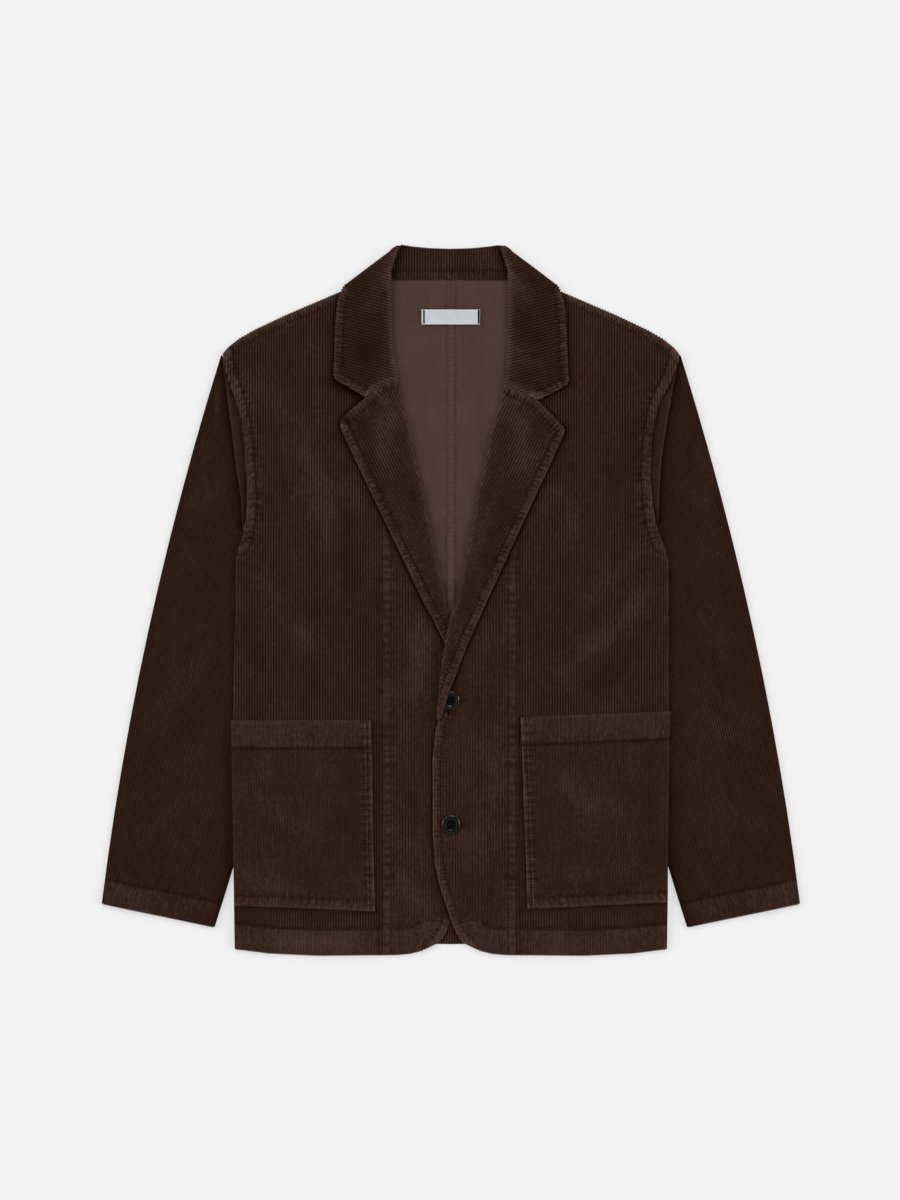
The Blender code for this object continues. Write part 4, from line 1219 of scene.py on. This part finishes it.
@functools.cache
def inner_side():
    """The bare inner side of the corduroy, with the wales' foundation weave just showing."""
    material, nodes, shader = new_material("corduroy_inside")
    place = nodes.place()
    rib = nodes.ripple("COSINE", nodes.parts(place)["X"], PITCH * MM)
    cloud = nodes.noise(nodes.times(place, (1.0, 0.5, 1.0)), 38.0, 4.0)
    yarn = nodes.noise(nodes.times(place, (1.0, 0.25, 1.0)), 0.7, 2.0)
    shade = nodes.maths("MULTIPLY_ADD", cloud, 0.55, nodes.maths("MULTIPLY_ADD", yarn, 0.5, 0.46))
    shade = nodes.maths("ADD", shade, nodes.maths("MULTIPLY", rib, 0.035))
    shade = nodes.maths("MULTIPLY", shade, nodes.told("tone"))
    base = nodes.mixed(cloud, solid(bpy.context.scene.jacket_cloth.inside), INSIDE_PATCH)
    normal = nodes.bump(nodes.maths("MULTIPLY_ADD", rib, 0.4, yarn), 0.5, 0.25 * MM)
    nodes.wire(shader.inputs, Base_Color=nodes.scaled(base, shade), Normal=normal)
    set_inputs(shader, Roughness=0.9, Sheen_Weight=0.12, Sheen_Roughness=0.5, Specular_IOR_Level=0.15)
    return material


@functools.cache
def thread(name, shade):
    """Twisted sewing thread."""
    material, nodes, shader = new_material(name)
    place = nodes.place()
    twist = nodes.noise(place, 0.35, 2.0)
    rubbed = nodes.maths("MULTIPLY_ADD", nodes.noise(place, 6.0, 2.0), 0.5, 0.75)
    strand = nodes.maths("MULTIPLY", rubbed, nodes.maths("MULTIPLY_ADD", twist, 0.5, 0.75))
    plain = nodes("RGB").outputs[0]
    plain.default_value = solid(shade)
    normal = nodes.bump(twist, 0.6, 0.1 * MM)
    nodes.wire(shader.inputs, Base_Color=nodes.scaled(plain, strand), Normal=normal)
    set_inputs(shader, Roughness=0.8, Specular_IOR_Level=0.1)
    return material


@functools.cache
def horn():
    """Polished dark horn, with faint paler streaks."""
    material, nodes, shader = new_material("horn")
    place = nodes.place()
    aslant = {"Vector": place, "Rotation": (0.0, 0.0, 0.6), "Scale": (1.0, 0.22, 1.0)}
    streak = nodes.maths("POWER", nodes.noise(nodes("Mapping", aslant).outputs[0], 2.2, 4.0), 4.0)
    base = nodes.mixed(streak, solid(bpy.context.scene.jacket_buttons.horn), HORN_STREAK)
    scratch = nodes.maths("MULTIPLY_ADD", nodes.noise(place, 0.5, 3.0), 0.08, 0.05)
    nodes.wire(shader.inputs, Base_Color=base, Roughness=scratch)
    set_inputs(shader, Specular_IOR_Level=0.65)
    return material


@functools.cache
def label_satin():
    """The label's white satin."""
    shade = bpy.context.scene.jacket_buttons.label
    material, nodes, shader = new_material("label_satin")
    place = nodes.place()
    parts = nodes.parts(place)
    warp, weft = nodes.ripple("SINE", parts["X"], 0.42 * MM), nodes.ripple("SINE", parts["Y"], 0.30 * MM)
    weave = nodes.maths("MULTIPLY", warp, weft)
    cloud = nodes.noise(place, 8.0, 3.0)
    tone = nodes.maths("MULTIPLY_ADD", cloud, 0.22, nodes.maths("MULTIPLY_ADD", weave, 0.05, 0.86))
    base = nodes.mixed(cloud, solid(shade), solid(value * 0.94 for value in shade))
    normal = nodes.bump(weave, 0.35, 0.06 * MM)
    nodes.wire(shader.inputs, Base_Color=nodes.scaled(base, tone), Normal=normal)
    set_inputs(shader, Roughness=0.5, Sheen_Weight=0.1, Specular_IOR_Level=0.4)
    return material


def floor_paper():
    """The pale paper under the jacket, lit a little from below."""
    stage = bpy.context.scene.jacket_stage
    material, nodes, shader = new_material("floor_paper")
    cloud = nodes.noise(nodes.place(), 900.0, 2.0)
    nodes.wire(
        shader.inputs,
        Base_Color=nodes.mixed(cloud, solid(stage.floor), solid(value * 0.995 for value in stage.floor)),
    )
    set_inputs(shader, Roughness=0.9, Specular_IOR_Level=0.1)
    set_inputs(shader, Emission_Color=solid((1, 1, 1)), Emission_Strength=stage.glow)
    return material


# ---- The pieces ----


def bare(here):
    """No relief at all."""


def make_up(here, part, form):
    """Puckers a panel along all its rows of stitches, paints its edges lighter with wear and painted
    highlight or darker with painted shade, and lays its soft folds.
    """
    here.tone *= TONES[part]
    for name, tone, reach, *inset in EDGES.get(part, ()):
        here.shade(form.row(name, *inset or [0.0]), reach, tone)
    for number, row in enumerate(SEWING[part]):
        edge = form.row(row.edge, 0.0, row.low, row.high)
        here.sewn(edge, row, form.seed + 20 + 9 * number)
    for number, (points, width, height, tone) in enumerate(FOLDS.get(f"{part}_{form.side}", ())):
        here.fold(points, width, height, form.seed + 90 + number, tone)


def reach_of(form):
    """From where to where a form reaches along its wales."""
    return form.ring[:, 1].min(), form.ring[:, 1].max()


def plain_panel(part, side, step):
    """A panel that has only its own sewing, wear and folds, in rows this far apart."""
    form = form_of(part, side)
    return panel(form, places(*reach_of(form), step), lambda here: make_up(here, part, form))


def dress_panel(bm, part, side, *more):
    """Makes an object of a panel whose outer side shows, with some more materials."""
    name = f"{part}_{side}"
    dress(bm, f"{name}_cloth", [corduroy(), inner_side(), *more], [name])


def show_hem(bm):
    """Gives the back's turned-up hem the look of the pile."""
    for face in bm.faces:
        if face.calc_center_median().y < BACK_HEM * MM:
            face.material_index = 1


class JacketBacks(bpy.types.Operator):
    """Makes the two halves of the back, seen from their inner side, and the felled seam between them"""

    bl_idname = "jacket.make_backs"
    bl_label = "Backs"

    def execute(self, context):
        skins = [inner_side(), corduroy_behind(0.0)]
        for side in SIDES:
            form = form_of("back", side)
            # closer beside the centre seam, and where the back shows between the fronts
            seam, rest = np.arange(-1.0, 14.0, 1.5), np.arange(14.0, form.ring[:, 0].max() + 4, 4.0)
            rows = places(*reach_of(form), 8.0, (-60, 370, 3.0))
            bm = panel(form, rows, self.inside, np.concatenate([seam, rest]))
            show_hem(bm)
            dress(bm, f"back_{side}_cloth", skins, [f"back_{side}"])
        self.welt(skins)
        return {"FINISHED"}

    @staticmethod
    def inside(here):
        """The pull of the centre seam, with painted light on its ripples, a painted shadow beside the welt,
        and uneven patches.
        """
        wave = wobble(here.y, 5.0, 31)
        here.lift += 0.25 * wave * hump(here.x - 7.0, 4.0)
        # painted light on the raised ripples, and a painted shadow just beside the welt's edge
        here.tone *= 1 + 0.12 * wave * hump(here.x - 7.0, 4.5) - 0.34 * hump(here.x - 5.4, 0.9)
        here.tone *= 1 + 0.06 * clouds(here.x, here.y * 0.5, 18.0, 37)

    @staticmethod
    def welt(skins):
        """The strip of the centre seam, rippled between its two rows of stitches."""
        low, high = WELT_ENDS
        edge, middle = WELT_LEVELS
        bm = bmesh.new()
        bmesh.ops.create_grid(bm, x_segments=12, y_segments=300, size=1.0)
        for name in LOOKS:
            bm.verts.layers.float.new(name)
        u, v, _ = points_of(bm).T
        y = (low + high) / 2 + v * (high - low) / 2
        ripple = 0.6 * np.cos(2 * np.pi * (y + 1.2 * wobble(y, 17.0, 33)) / 4.6) + 0.4 * wobble(y, 3.1, 34)
        half = WELT * (1 + 0.05 * wobble(y, 9.0, 35))
        x = u * half + 0.4 * wobble(y, 40.0, 36)
        crown = 1 - np.abs(u) ** 3
        z = edge + (middle - edge) * crown + 0.22 * ripple * (1 - u**2)
        move_points(bm, x * MM, y * MM, z * MM)
        # painted light on the raised ripples, and darker along the two rows of stitches
        fill_layer(bm, "tone", 1.08 + 0.26 * ripple * (1 - u**4) - 0.42 * hump(np.abs(u) - 0.86, 0.14))
        for face in bm.faces:
            face.smooth = True
        for vert in new_points(bmesh.ops.extrude_edge_only(bm, edges=[e for e in bm.edges if e.is_boundary])):
            vert.co.z = WELT_FOOT * MM
        bmesh.ops.contextual_create(bm, geom=[e for e in bm.edges if e.is_boundary])
        bmesh.ops.recalc_face_normals(bm, faces=bm.faces[:])
        show_hem(bm)
        dress(bm, "back_seam_welt", skins, ["back_right", "back_left"])


class JacketFronts(bpy.types.Operator):
    """Makes the side fronts and the centre fronts, with their hems, front edges and puckered seams"""

    bl_idname = "jacket.make_fronts"
    bl_label = "Fronts"

    def execute(self, context):
        for side in SIDES:
            for part in ("side_front", "centre_front"):
                self.front(part, side)
        return {"FINISHED"}

    @staticmethod
    def front(part, side):
        """One panel of a front, with painted shadows beside the pieces that lie on it."""
        form = form_of(part, side)
        seams = [form.row(name, 0.0, low) for name, low in PUCKERED[part]]

        def relief(here):
            make_up(here, part, form)
            # painted shadows beside the lapel, the leaf, the other front's edge, the notch and the pocket
            # that lie over this panel
            here.shade(form_of("lapel", side).row("right", 0.0, low=-114.0), 2.4, -0.85)
            here.shade(form_of("lapel", side).row("top", 0.0), 3.0, -0.8)
            here.shade(form_of("leaf", side).row("top", 0.0, high=352.0), 2.8, -0.85)
            if side == "right":
                over = form_of("centre_front", "left").row("left", 0.0, high=-100.0)
                here.shade([(-x, y) for x, y in over], 2.2, -0.85)
                here.shade([(128, 244), (112, 235), (97, 227)], 5.5, -1.0)
            for name, reach in (("left", 1.8), ("right", 1.8), ("bottom", 3.2)):
                here.shade(form_of("pocket", side).row(name, 0.0), reach, -0.4)

        def fine(x, y):
            return np.min([beside(seam, x, y)[0] for seam in seams], axis=0) < PUCKER_REACH

        low, high = reach_of(form)
        rows = places(low, high, 5.0, (low, low + 3, 1.0), (low + 3, low + 38, 2.0))
        dress_panel(panel(form, rows, relief, fine=fine), part, side)


class JacketSleeves(bpy.types.Operator):
    """Makes the two sleeves, each an upper cloth over an under cloth"""

    bl_idname = "jacket.make_sleeves"
    bl_label = "Sleeves"

    def execute(self, context):
        for side in SIDES:
            form = form_of("sleeve", side)
            bm = self.upper_cloth(form, TUCKS[side])
            self.add_under_cloth(bm, form)
            dress_panel(bm, "sleeve", side, corduroy_behind(SLEEVE_LEAN))
        return {"FINISHED"}

    @staticmethod
    def upper_cloth(form, fold):
        """The upper cloth, whose grid is closer at the cuff and beside the armhole."""
        (_, start), (_, end) = fold[0], fold[-1]

        def relief(here):
            make_up(here, "sleeve", form)
            here.tuck(form.row("right", 0.0, start - 40), fold)

        def fine(x, y):
            return drawn_out(fold, x - 3.0, y)[0]

        low, high = reach_of(form)
        rows = places(low, high, 4.0, (low, low + 62, 2.0), (start, end, 2.4))
        return panel(form.hollowed(SLEEVE_WALL, SLEEVE_FOLD), rows, relief, fine=fine)

    @staticmethod
    def add_under_cloth(bm, form):
        """The sleeve's under cloth lies flat on the table, just inside the folds of the upper one."""
        plate = form.narrowed(UNDER_INSET).plate(UNDER_CLOTH)
        columns = np.arange(form.ring[:, 0].min(), form.ring[:, 0].max() + 5, 5.0)
        under = panel(plate, places(*reach_of(form), 8.0), bare, columns, skins=(1, 2))
        mesh = mesh_of(under, "under_cloth")
        bm.from_mesh(mesh)
        bpy.data.meshes.remove(mesh)


class JacketLapels(bpy.types.Operator):
    """Makes the lapels, which turn back along their rolls"""

    bl_idname = "jacket.make_lapels"
    bl_label = "Lapels"

    def execute(self, context):
        for side in SIDES:
            dress_panel(plain_panel("lapel", side, 1.4), "lapel", side)
        return {"FINISHED"}


class JacketCollar(bpy.types.Operator):
    """Makes the collar: its two leaves, the stand behind the neck, and the fall behind the back"""

    bl_idname = "jacket.make_collar"
    bl_label = "Collar"

    def execute(self, context):
        behind = corduroy_behind(0.0)
        for side in SIDES:
            leaf = plain_panel("leaf", side, 1.3)
            dress(leaf, f"collar_leaf_{side}", [corduroy(), behind], ["collar"])
        dress(self.stand(), "collar_stand", [corduroy(), behind], ["collar"])
        dress(self.fall(), "collar_fall", [inner_side(), behind], ["collar"])
        return {"FINISHED"}

    @staticmethod
    def stand():
        """The part that stands up behind the neck, with painted shade beside the leaves."""
        form = form_of("stand", "left").narrowed(-STAND_SIDE).moved(bottom=-STAND_DROP)

        def relief(here):
            make_up(here, "stand", form)
            for sign in (-1, 1):
                # painted shade where the stand runs under the leaves
                here.shade([(sign * 64.0, 360.0), (sign * 60.0, 380.0), (sign * 52.0, 400.0)], 4.0, -0.6)

        return panel(form, places(*reach_of(form), 1.4), relief)

    @staticmethod
    def fall():
        """The part of the collar behind the back, which lies on the table."""
        form = form_of("fall", "left")
        columns = np.arange(form.ring[:, 0].min() - 2, form.ring[:, 0].max() + 4, 4.0)
        return panel(form.plate(FALL_CLOTH), places(*reach_of(form), 4.0), bare, columns)


class JacketPockets(bpy.types.Operator):
    """Makes the patch pockets, each with a wide turned-down top and two rows of stitches at its sides"""

    bl_idname = "jacket.make_pockets"
    bl_label = "Pockets"

    def execute(self, context):
        for side in SIDES:
            dress_panel(plain_panel("pocket", side, 1.6), "pocket", side)
        return {"FINISHED"}


class JacketLabel(bpy.types.Operator):
    """Makes the blank neck label, held by black stitches at its two ends"""

    bl_idname = "jacket.make_label"
    bl_label = "Neck label"

    def execute(self, context):
        form = form_of("neck_label", "left")
        (left, bottom), (right, top) = form.ring.min(axis=0), form.ring.max(axis=0)
        columns = np.arange(left, right + 1.0, 1.0)
        bm = panel(form, places(bottom, top, 1.0), self.relief, columns, rim=0.25)
        satin = [label_satin(), label_satin()]
        tree = ground(dress(bm, "neck_label_satin", satin, ["neck_label"]))
        bm = bmesh.new()
        # the middle of each end's stitches, and half their length
        for end, half in ((left + 2.7, 0.9), (right - 1.4, 1.2)):
            for number, y in enumerate(np.arange(bottom + 1.2, top - 0.8, 0.42)):
                slip = 0.2 * math.sin(5.3 * number)
                lay_stitch(bm, tree, (end - half + slip, y), (end + half + slip, y + 0.15), 1.1)
        dress(bm, "neck_label_stitches", [thread(*LABEL_THREAD)], [])
        return {"FINISHED"}

    @staticmethod
    def relief(here):
        """Faint ripples along the label."""
        here.lift += 0.14 * wobble(here.x, 9.0, 41) + 0.1 * wobble(here.y, 7.0, 42)
        here.lift += 0.12 * wobble(here.x + here.y, 4.0, 43)
        here.tone *= 1 + 0.03 * wobble(here.x, 6.0, 44)


# A button's outline from its back round to the slope of its dish, as shares of its radius and height
BUTTON_RIM = [
    (0.0, 0.0),
    (0.50, 0.0),
    (0.78, 0.08),
    (0.95, 0.34),
    (1.0, 0.58),
    (0.97, 0.82),
    (0.90, 0.97),
    (0.82, 1.0),
    (0.73, 0.95),
    (0.64, 0.80),
]
BUTTONS = ("button_upper", "button_lower")


class JacketButtons(bpy.types.Operator):
    """Makes the two horn buttons, sewn through four holes"""

    bl_idname = "jacket.make_buttons"
    bl_label = "Buttons"

    def execute(self, context):
        settings = context.scene.jacket_buttons
        half, turned = settings.pitch / 2, Matrix.Rotation(math.radians(-4), 4, "Z")
        for node in BUTTONS:
            low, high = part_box(node)
            middle = (low + high) / 2
            spots = [turned @ Vector((x * half, y * half, 0)) + middle for x in (-1, 1) for y in (-1, 1)]
            self.horn_of(node, settings, low, high, spots)
            self.sew_on(node, high.z - 0.8 * settings.dish, spots)
        return {"FINISHED"}

    @staticmethod
    def horn_of(node, settings, low, high, spots):
        """A button between two corners of its box, with holes at some spots."""
        middle, radius, rise = (low + high) / 2, (high.x - low.x) / 2, high.z - low.z
        dish = [(0.52, 1 - settings.dish / rise), (0.0, 1 - 1.05 * settings.dish / rise)]
        bm = bmesh.new()
        points = [bm.verts.new((radius * r, 0.0, rise * h)) for r, h in BUTTON_RIM + dish]
        edges = [bm.edges.new(pair) for pair in zip(points, points[1:])]
        turn = {"cent": (0, 0, 0), "axis": (0, 0, 1), "angle": 2 * math.pi, "steps": 64}
        bmesh.ops.spin(bm, geom=points + edges, use_merge=True, **turn)
        bmesh.ops.remove_doubles(bm, verts=bm.verts, dist=0.005 * MM)
        bmesh.ops.recalc_face_normals(bm, faces=bm.faces[:])
        bmesh.ops.translate(bm, verts=bm.verts, vec=(middle.x, middle.y, low.z))
        holes = bmesh.new()
        size = {"radius1": settings.hole / 2, "radius2": settings.hole / 2, "depth": 4 * rise}
        for spot in spots:
            place = Matrix.Translation(spot)
            bmesh.ops.create_cone(holes, cap_ends=True, segments=20, matrix=place, **size)
        thing = carve(bm, holes, f"{node}_horn")
        for face in thing.data.polygons:
            face.use_smooth = True
        thing.data.set_sharp_from_angle(angle=math.radians(40))
        thing.data.materials.append(horn())
        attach(thing, "root")
        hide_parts(node)

    @staticmethod
    def sew_on(node, level, spots):
        """Two strands between each pair of holes."""
        bm = bmesh.new()
        for start, end in (spots[:2], spots[2:]):
            for shift in (-0.28 * MM, 0.28 * MM):
                place = (start + end) / 2 + Vector((shift, 0, 0))
                place.z = level
                size = ((end - start).length * 0.62, 0.26 * MM, 0.3 * MM)
                add_strand(bm, place, end - start, size)
        dress(bm, f"{node}_thread", [thread(*BUTTON_THREAD)], [])


def carve(bm, holes, name):
    """An object of one bmesh less another."""
    whole, cutter = put(name, mesh_of(bm, name)), put("holes", mesh_of(holes, "holes"))
    change = whole.modifiers.new("holes", "BOOLEAN")
    change.operation = "DIFFERENCE"
    change.object = cutter
    mesh = bpy.data.meshes.new_from_object(whole.evaluated_get(bpy.context.evaluated_depsgraph_get()))
    whole.modifiers.clear()
    whole.data = mesh
    mesh.name = name
    bpy.data.objects.remove(cutter)
    return whole


def ground(thing):
    """What a ray from above meets first on a finished piece."""
    bm = bmesh.new()
    bm.from_mesh(thing.data)
    tree = BVHTree.FromBMesh(bm)
    bm.free()
    return tree


def add_strand(bm, place, heading, size):
    """One stitch: a bead of thread along its heading, with its half sizes."""
    turn = Matrix.Rotation(math.atan2(heading[1], heading[0]), 4, "Z")
    matrix = Matrix.Translation(place) @ turn @ Matrix.Diagonal((*size, 1.0))
    bmesh.ops.create_icosphere(bm, subdivisions=1, radius=1.0, matrix=matrix)


def lay_stitch(bm, tree, start, end, width):
    """A stitch from one (x, y) to another, on whatever lies under its middle."""
    x, y = (start[0] + end[0]) / 2, (start[1] + end[1]) / 2
    hit = tree.ray_cast(Vector((x * MM, y * MM, 1.0)), Vector((0, 0, -1)))[0]
    if hit:
        half = width / 2 * MM
        size = (math.dist(start, end) / 2 * MM, half, half * 0.8)
        add_strand(bm, hit + Vector((0, 0, half * 0.3)), (end[0] - start[0], end[1] - start[1]), size)


def evenly(path, step):
    """(start, end) of the stitches along a path."""
    ends, run, due = [], 0.0, step / 2
    for (ax, ay), (bx, by) in zip(path, path[1:]):
        reach = math.dist((ax, ay), (bx, by))
        across, up = (bx - ax) / reach, (by - ay) / reach
        while due < run + reach:
            low, high = due - run - step / 3, due - run + step / 3
            ends.append(((ax + across * low, ay + up * low), (ax + across * high, ay + up * high)))
            due += step
        run += reach
    return ends


class JacketSewing(bpy.types.Operator):
    """Lays the stitches along the seams, hems and edges, and the ends of the buttonholes"""

    bl_idname = "jacket.make_sewing"
    bl_label = "Sewing"

    def execute(self, context):
        settings = context.scene.jacket_sewing
        strand = [thread("thread_brown", tuple(settings.colour))]
        for part in SEWING:
            bm = bmesh.new()
            for side in ("left",) if part == "stand" else SIDES:
                self.sew_along(bm, part, side, settings.stitch / MM, settings.thread / MM)
            dress(bm, f"{part}_stitches", strand, [])
        dress(self.buttonholes(), "buttonhole_stitches", strand, [])
        return {"FINISHED"}

    @staticmethod
    def sew_along(bm, part, side, step, width):
        """The stitches of all the rows on a panel."""
        form = form_of(part, side)
        names = {"leaf": f"collar_leaf_{side}", "stand": "collar_stand"}
        tree = ground(bpy.data.objects[names.get(part, f"{part}_{side}_cloth")])
        for row in SEWING[part]:
            path = form.row(row.edge, row.inset, row.low, row.high)
            for start, end in evenly([(x * form.sign, y) for x, y in path], step):
                lay_stitch(bm, tree, start, end, width)

    @staticmethod
    def buttonholes():
        """The sewn end of each buttonhole, beyond its button."""
        bm = bmesh.new()
        tree = ground(bpy.data.objects["centre_front_left_cloth"])
        for node in BUTTONS:
            low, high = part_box(node)
            y = (low.y + high.y) / 2 / MM
            start = high.x / MM - 1.5
            for step in np.arange(0.0, 10.5, 0.7):
                for way in (-1, 1):
                    x = start + step
                    lay_stitch(bm, tree, (x, y + way * 0.35), (x + 0.2, y + way * 1.9), 0.55)
            lay_stitch(bm, tree, (start + 11.0, y - 1.8), (start + 11.0, y + 1.8), 0.9)
        return bm


# ---- The stage ----

# Each lamp: from where it shines, its strength, and how wide it is in degrees
LAMPS = {
    "light_left": ((-1.4, 0.25, 1.0), 1.20, 32),
    "light_right": ((1.4, 0.25, 1.0), 1.20, 32),
    "light_head": ((0.1, 1.2, 1.0), 0.80, 32),
    "light_glint": ((-0.7, 0.9, 1.0), 0.25, 8),
}
SKY = (-0.81, 0.86)  # what the room's light gains from the level up, and its strength at the level
SENSOR = 36.0
VIEW_MIDDLE = (-0.96, 0.2)  # the (x, y) that the camera looks down on

class JacketStage(bpy.types.Operator):
    """Sets the surface under the jacket, the light and the camera that looks straight down"""

    bl_idname = "jacket.set_stage"
    bl_label = "Stage"

    def execute(self, context):
        bm = bmesh.new()
        bmesh.ops.create_grid(bm, x_segments=8, y_segments=8, size=6.0)
        bmesh.ops.translate(bm, verts=bm.verts, vec=(0, 0, -0.3 * MM))
        floor = put("floor", mesh_of(bm, "floor"))
        floor.data.materials.append(floor_paper())
        self.light(context)
        self.camera(context)
        return {"FINISHED"}

    @staticmethod
    def light(context):
        """A pale room that is brighter low down, and the lamps."""
        world = bpy.data.worlds.new("soft_room")
        world.use_nodes = True
        nodes, background = Nodes(world.node_tree), world.node_tree.nodes["Background"]
        rise = nodes.parts(nodes("TexCoord").outputs["Generated"])["Z"]
        nodes.wire(background.inputs, Strength=nodes.maths("MULTIPLY_ADD", rise, *SKY))
        set_inputs(background, Color=solid((1, 1, 1)))
        context.scene.world = world
        context.scene.view_settings.view_transform = "Standard"
        for name, (place, strength, width) in LAMPS.items():
            lamp = bpy.data.lights.new(name, "SUN")
            lamp.angle = math.radians(width)
            lamp.energy = strength
            thing = put(name, lamp)
            thing.location = place
            thing.rotation_euler = Vector(place).to_track_quat("Z", "Y").to_euler()

    @staticmethod
    def camera(context):
        """A camera that sees the whole height of the view at the level of the cloth."""
        stage = context.scene.jacket_stage
        lens = bpy.data.cameras.new("camera")
        lens.lens = stage.focal
        lens.sensor_fit = "VERTICAL"
        lens.sensor_height = SENSOR
        eye = put("camera", lens)
        x, y = VIEW_MIDDLE
        eye.location = (x * MM, y * MM, stage.view_height * stage.focal / SENSOR + 4 * MM)
        context.scene.camera = eye


SETTINGS = {
    "jacket_cloth": ClothSettings,
    "jacket_sewing": SewingSettings,
    "jacket_buttons": ButtonSettings,
    "jacket_stage": StageSettings,
}
STEPS = (
    JacketStage,
    JacketBacks,
    JacketFronts,
    JacketSleeves,
    JacketLapels,
    JacketCollar,
    JacketPockets,
    JacketLabel,
    JacketButtons,
    JacketSewing,
)


class JacketPanel(bpy.types.Panel):
    """Lists the steps that make the jacket"""

    bl_idname = "VIEW3D_PT_jacket"
    bl_label = "Corduroy jacket"
    bl_space_type = "VIEW_3D"
    bl_region_type = "UI"
    bl_category = "Jacket"

    def draw(self, context):
        for step in STEPS:
            self.layout.operator(step.bl_idname)


CLASSES = (*SETTINGS.values(), *STEPS, JacketPanel)


def register():
    """Adds the jacket's settings, operators and panel."""
    for kind in CLASSES:
        bpy.utils.register_class(kind)
    for name, kind in SETTINGS.items():
        setattr(bpy.types.Scene, name, PointerProperty(type=kind))


def unregister():
    """Takes them away again."""
    for name in SETTINGS:
        delattr(bpy.types.Scene, name)
    for kind in reversed(CLASSES):
        bpy.utils.unregister_class(kind)


def main():
    """Makes the jacket, step by step."""
    register()
    for step in STEPS:
        group, name = step.bl_idname.split(".")
        getattr(getattr(bpy.ops, group), name)()


if __name__ == "__main__":
    main()
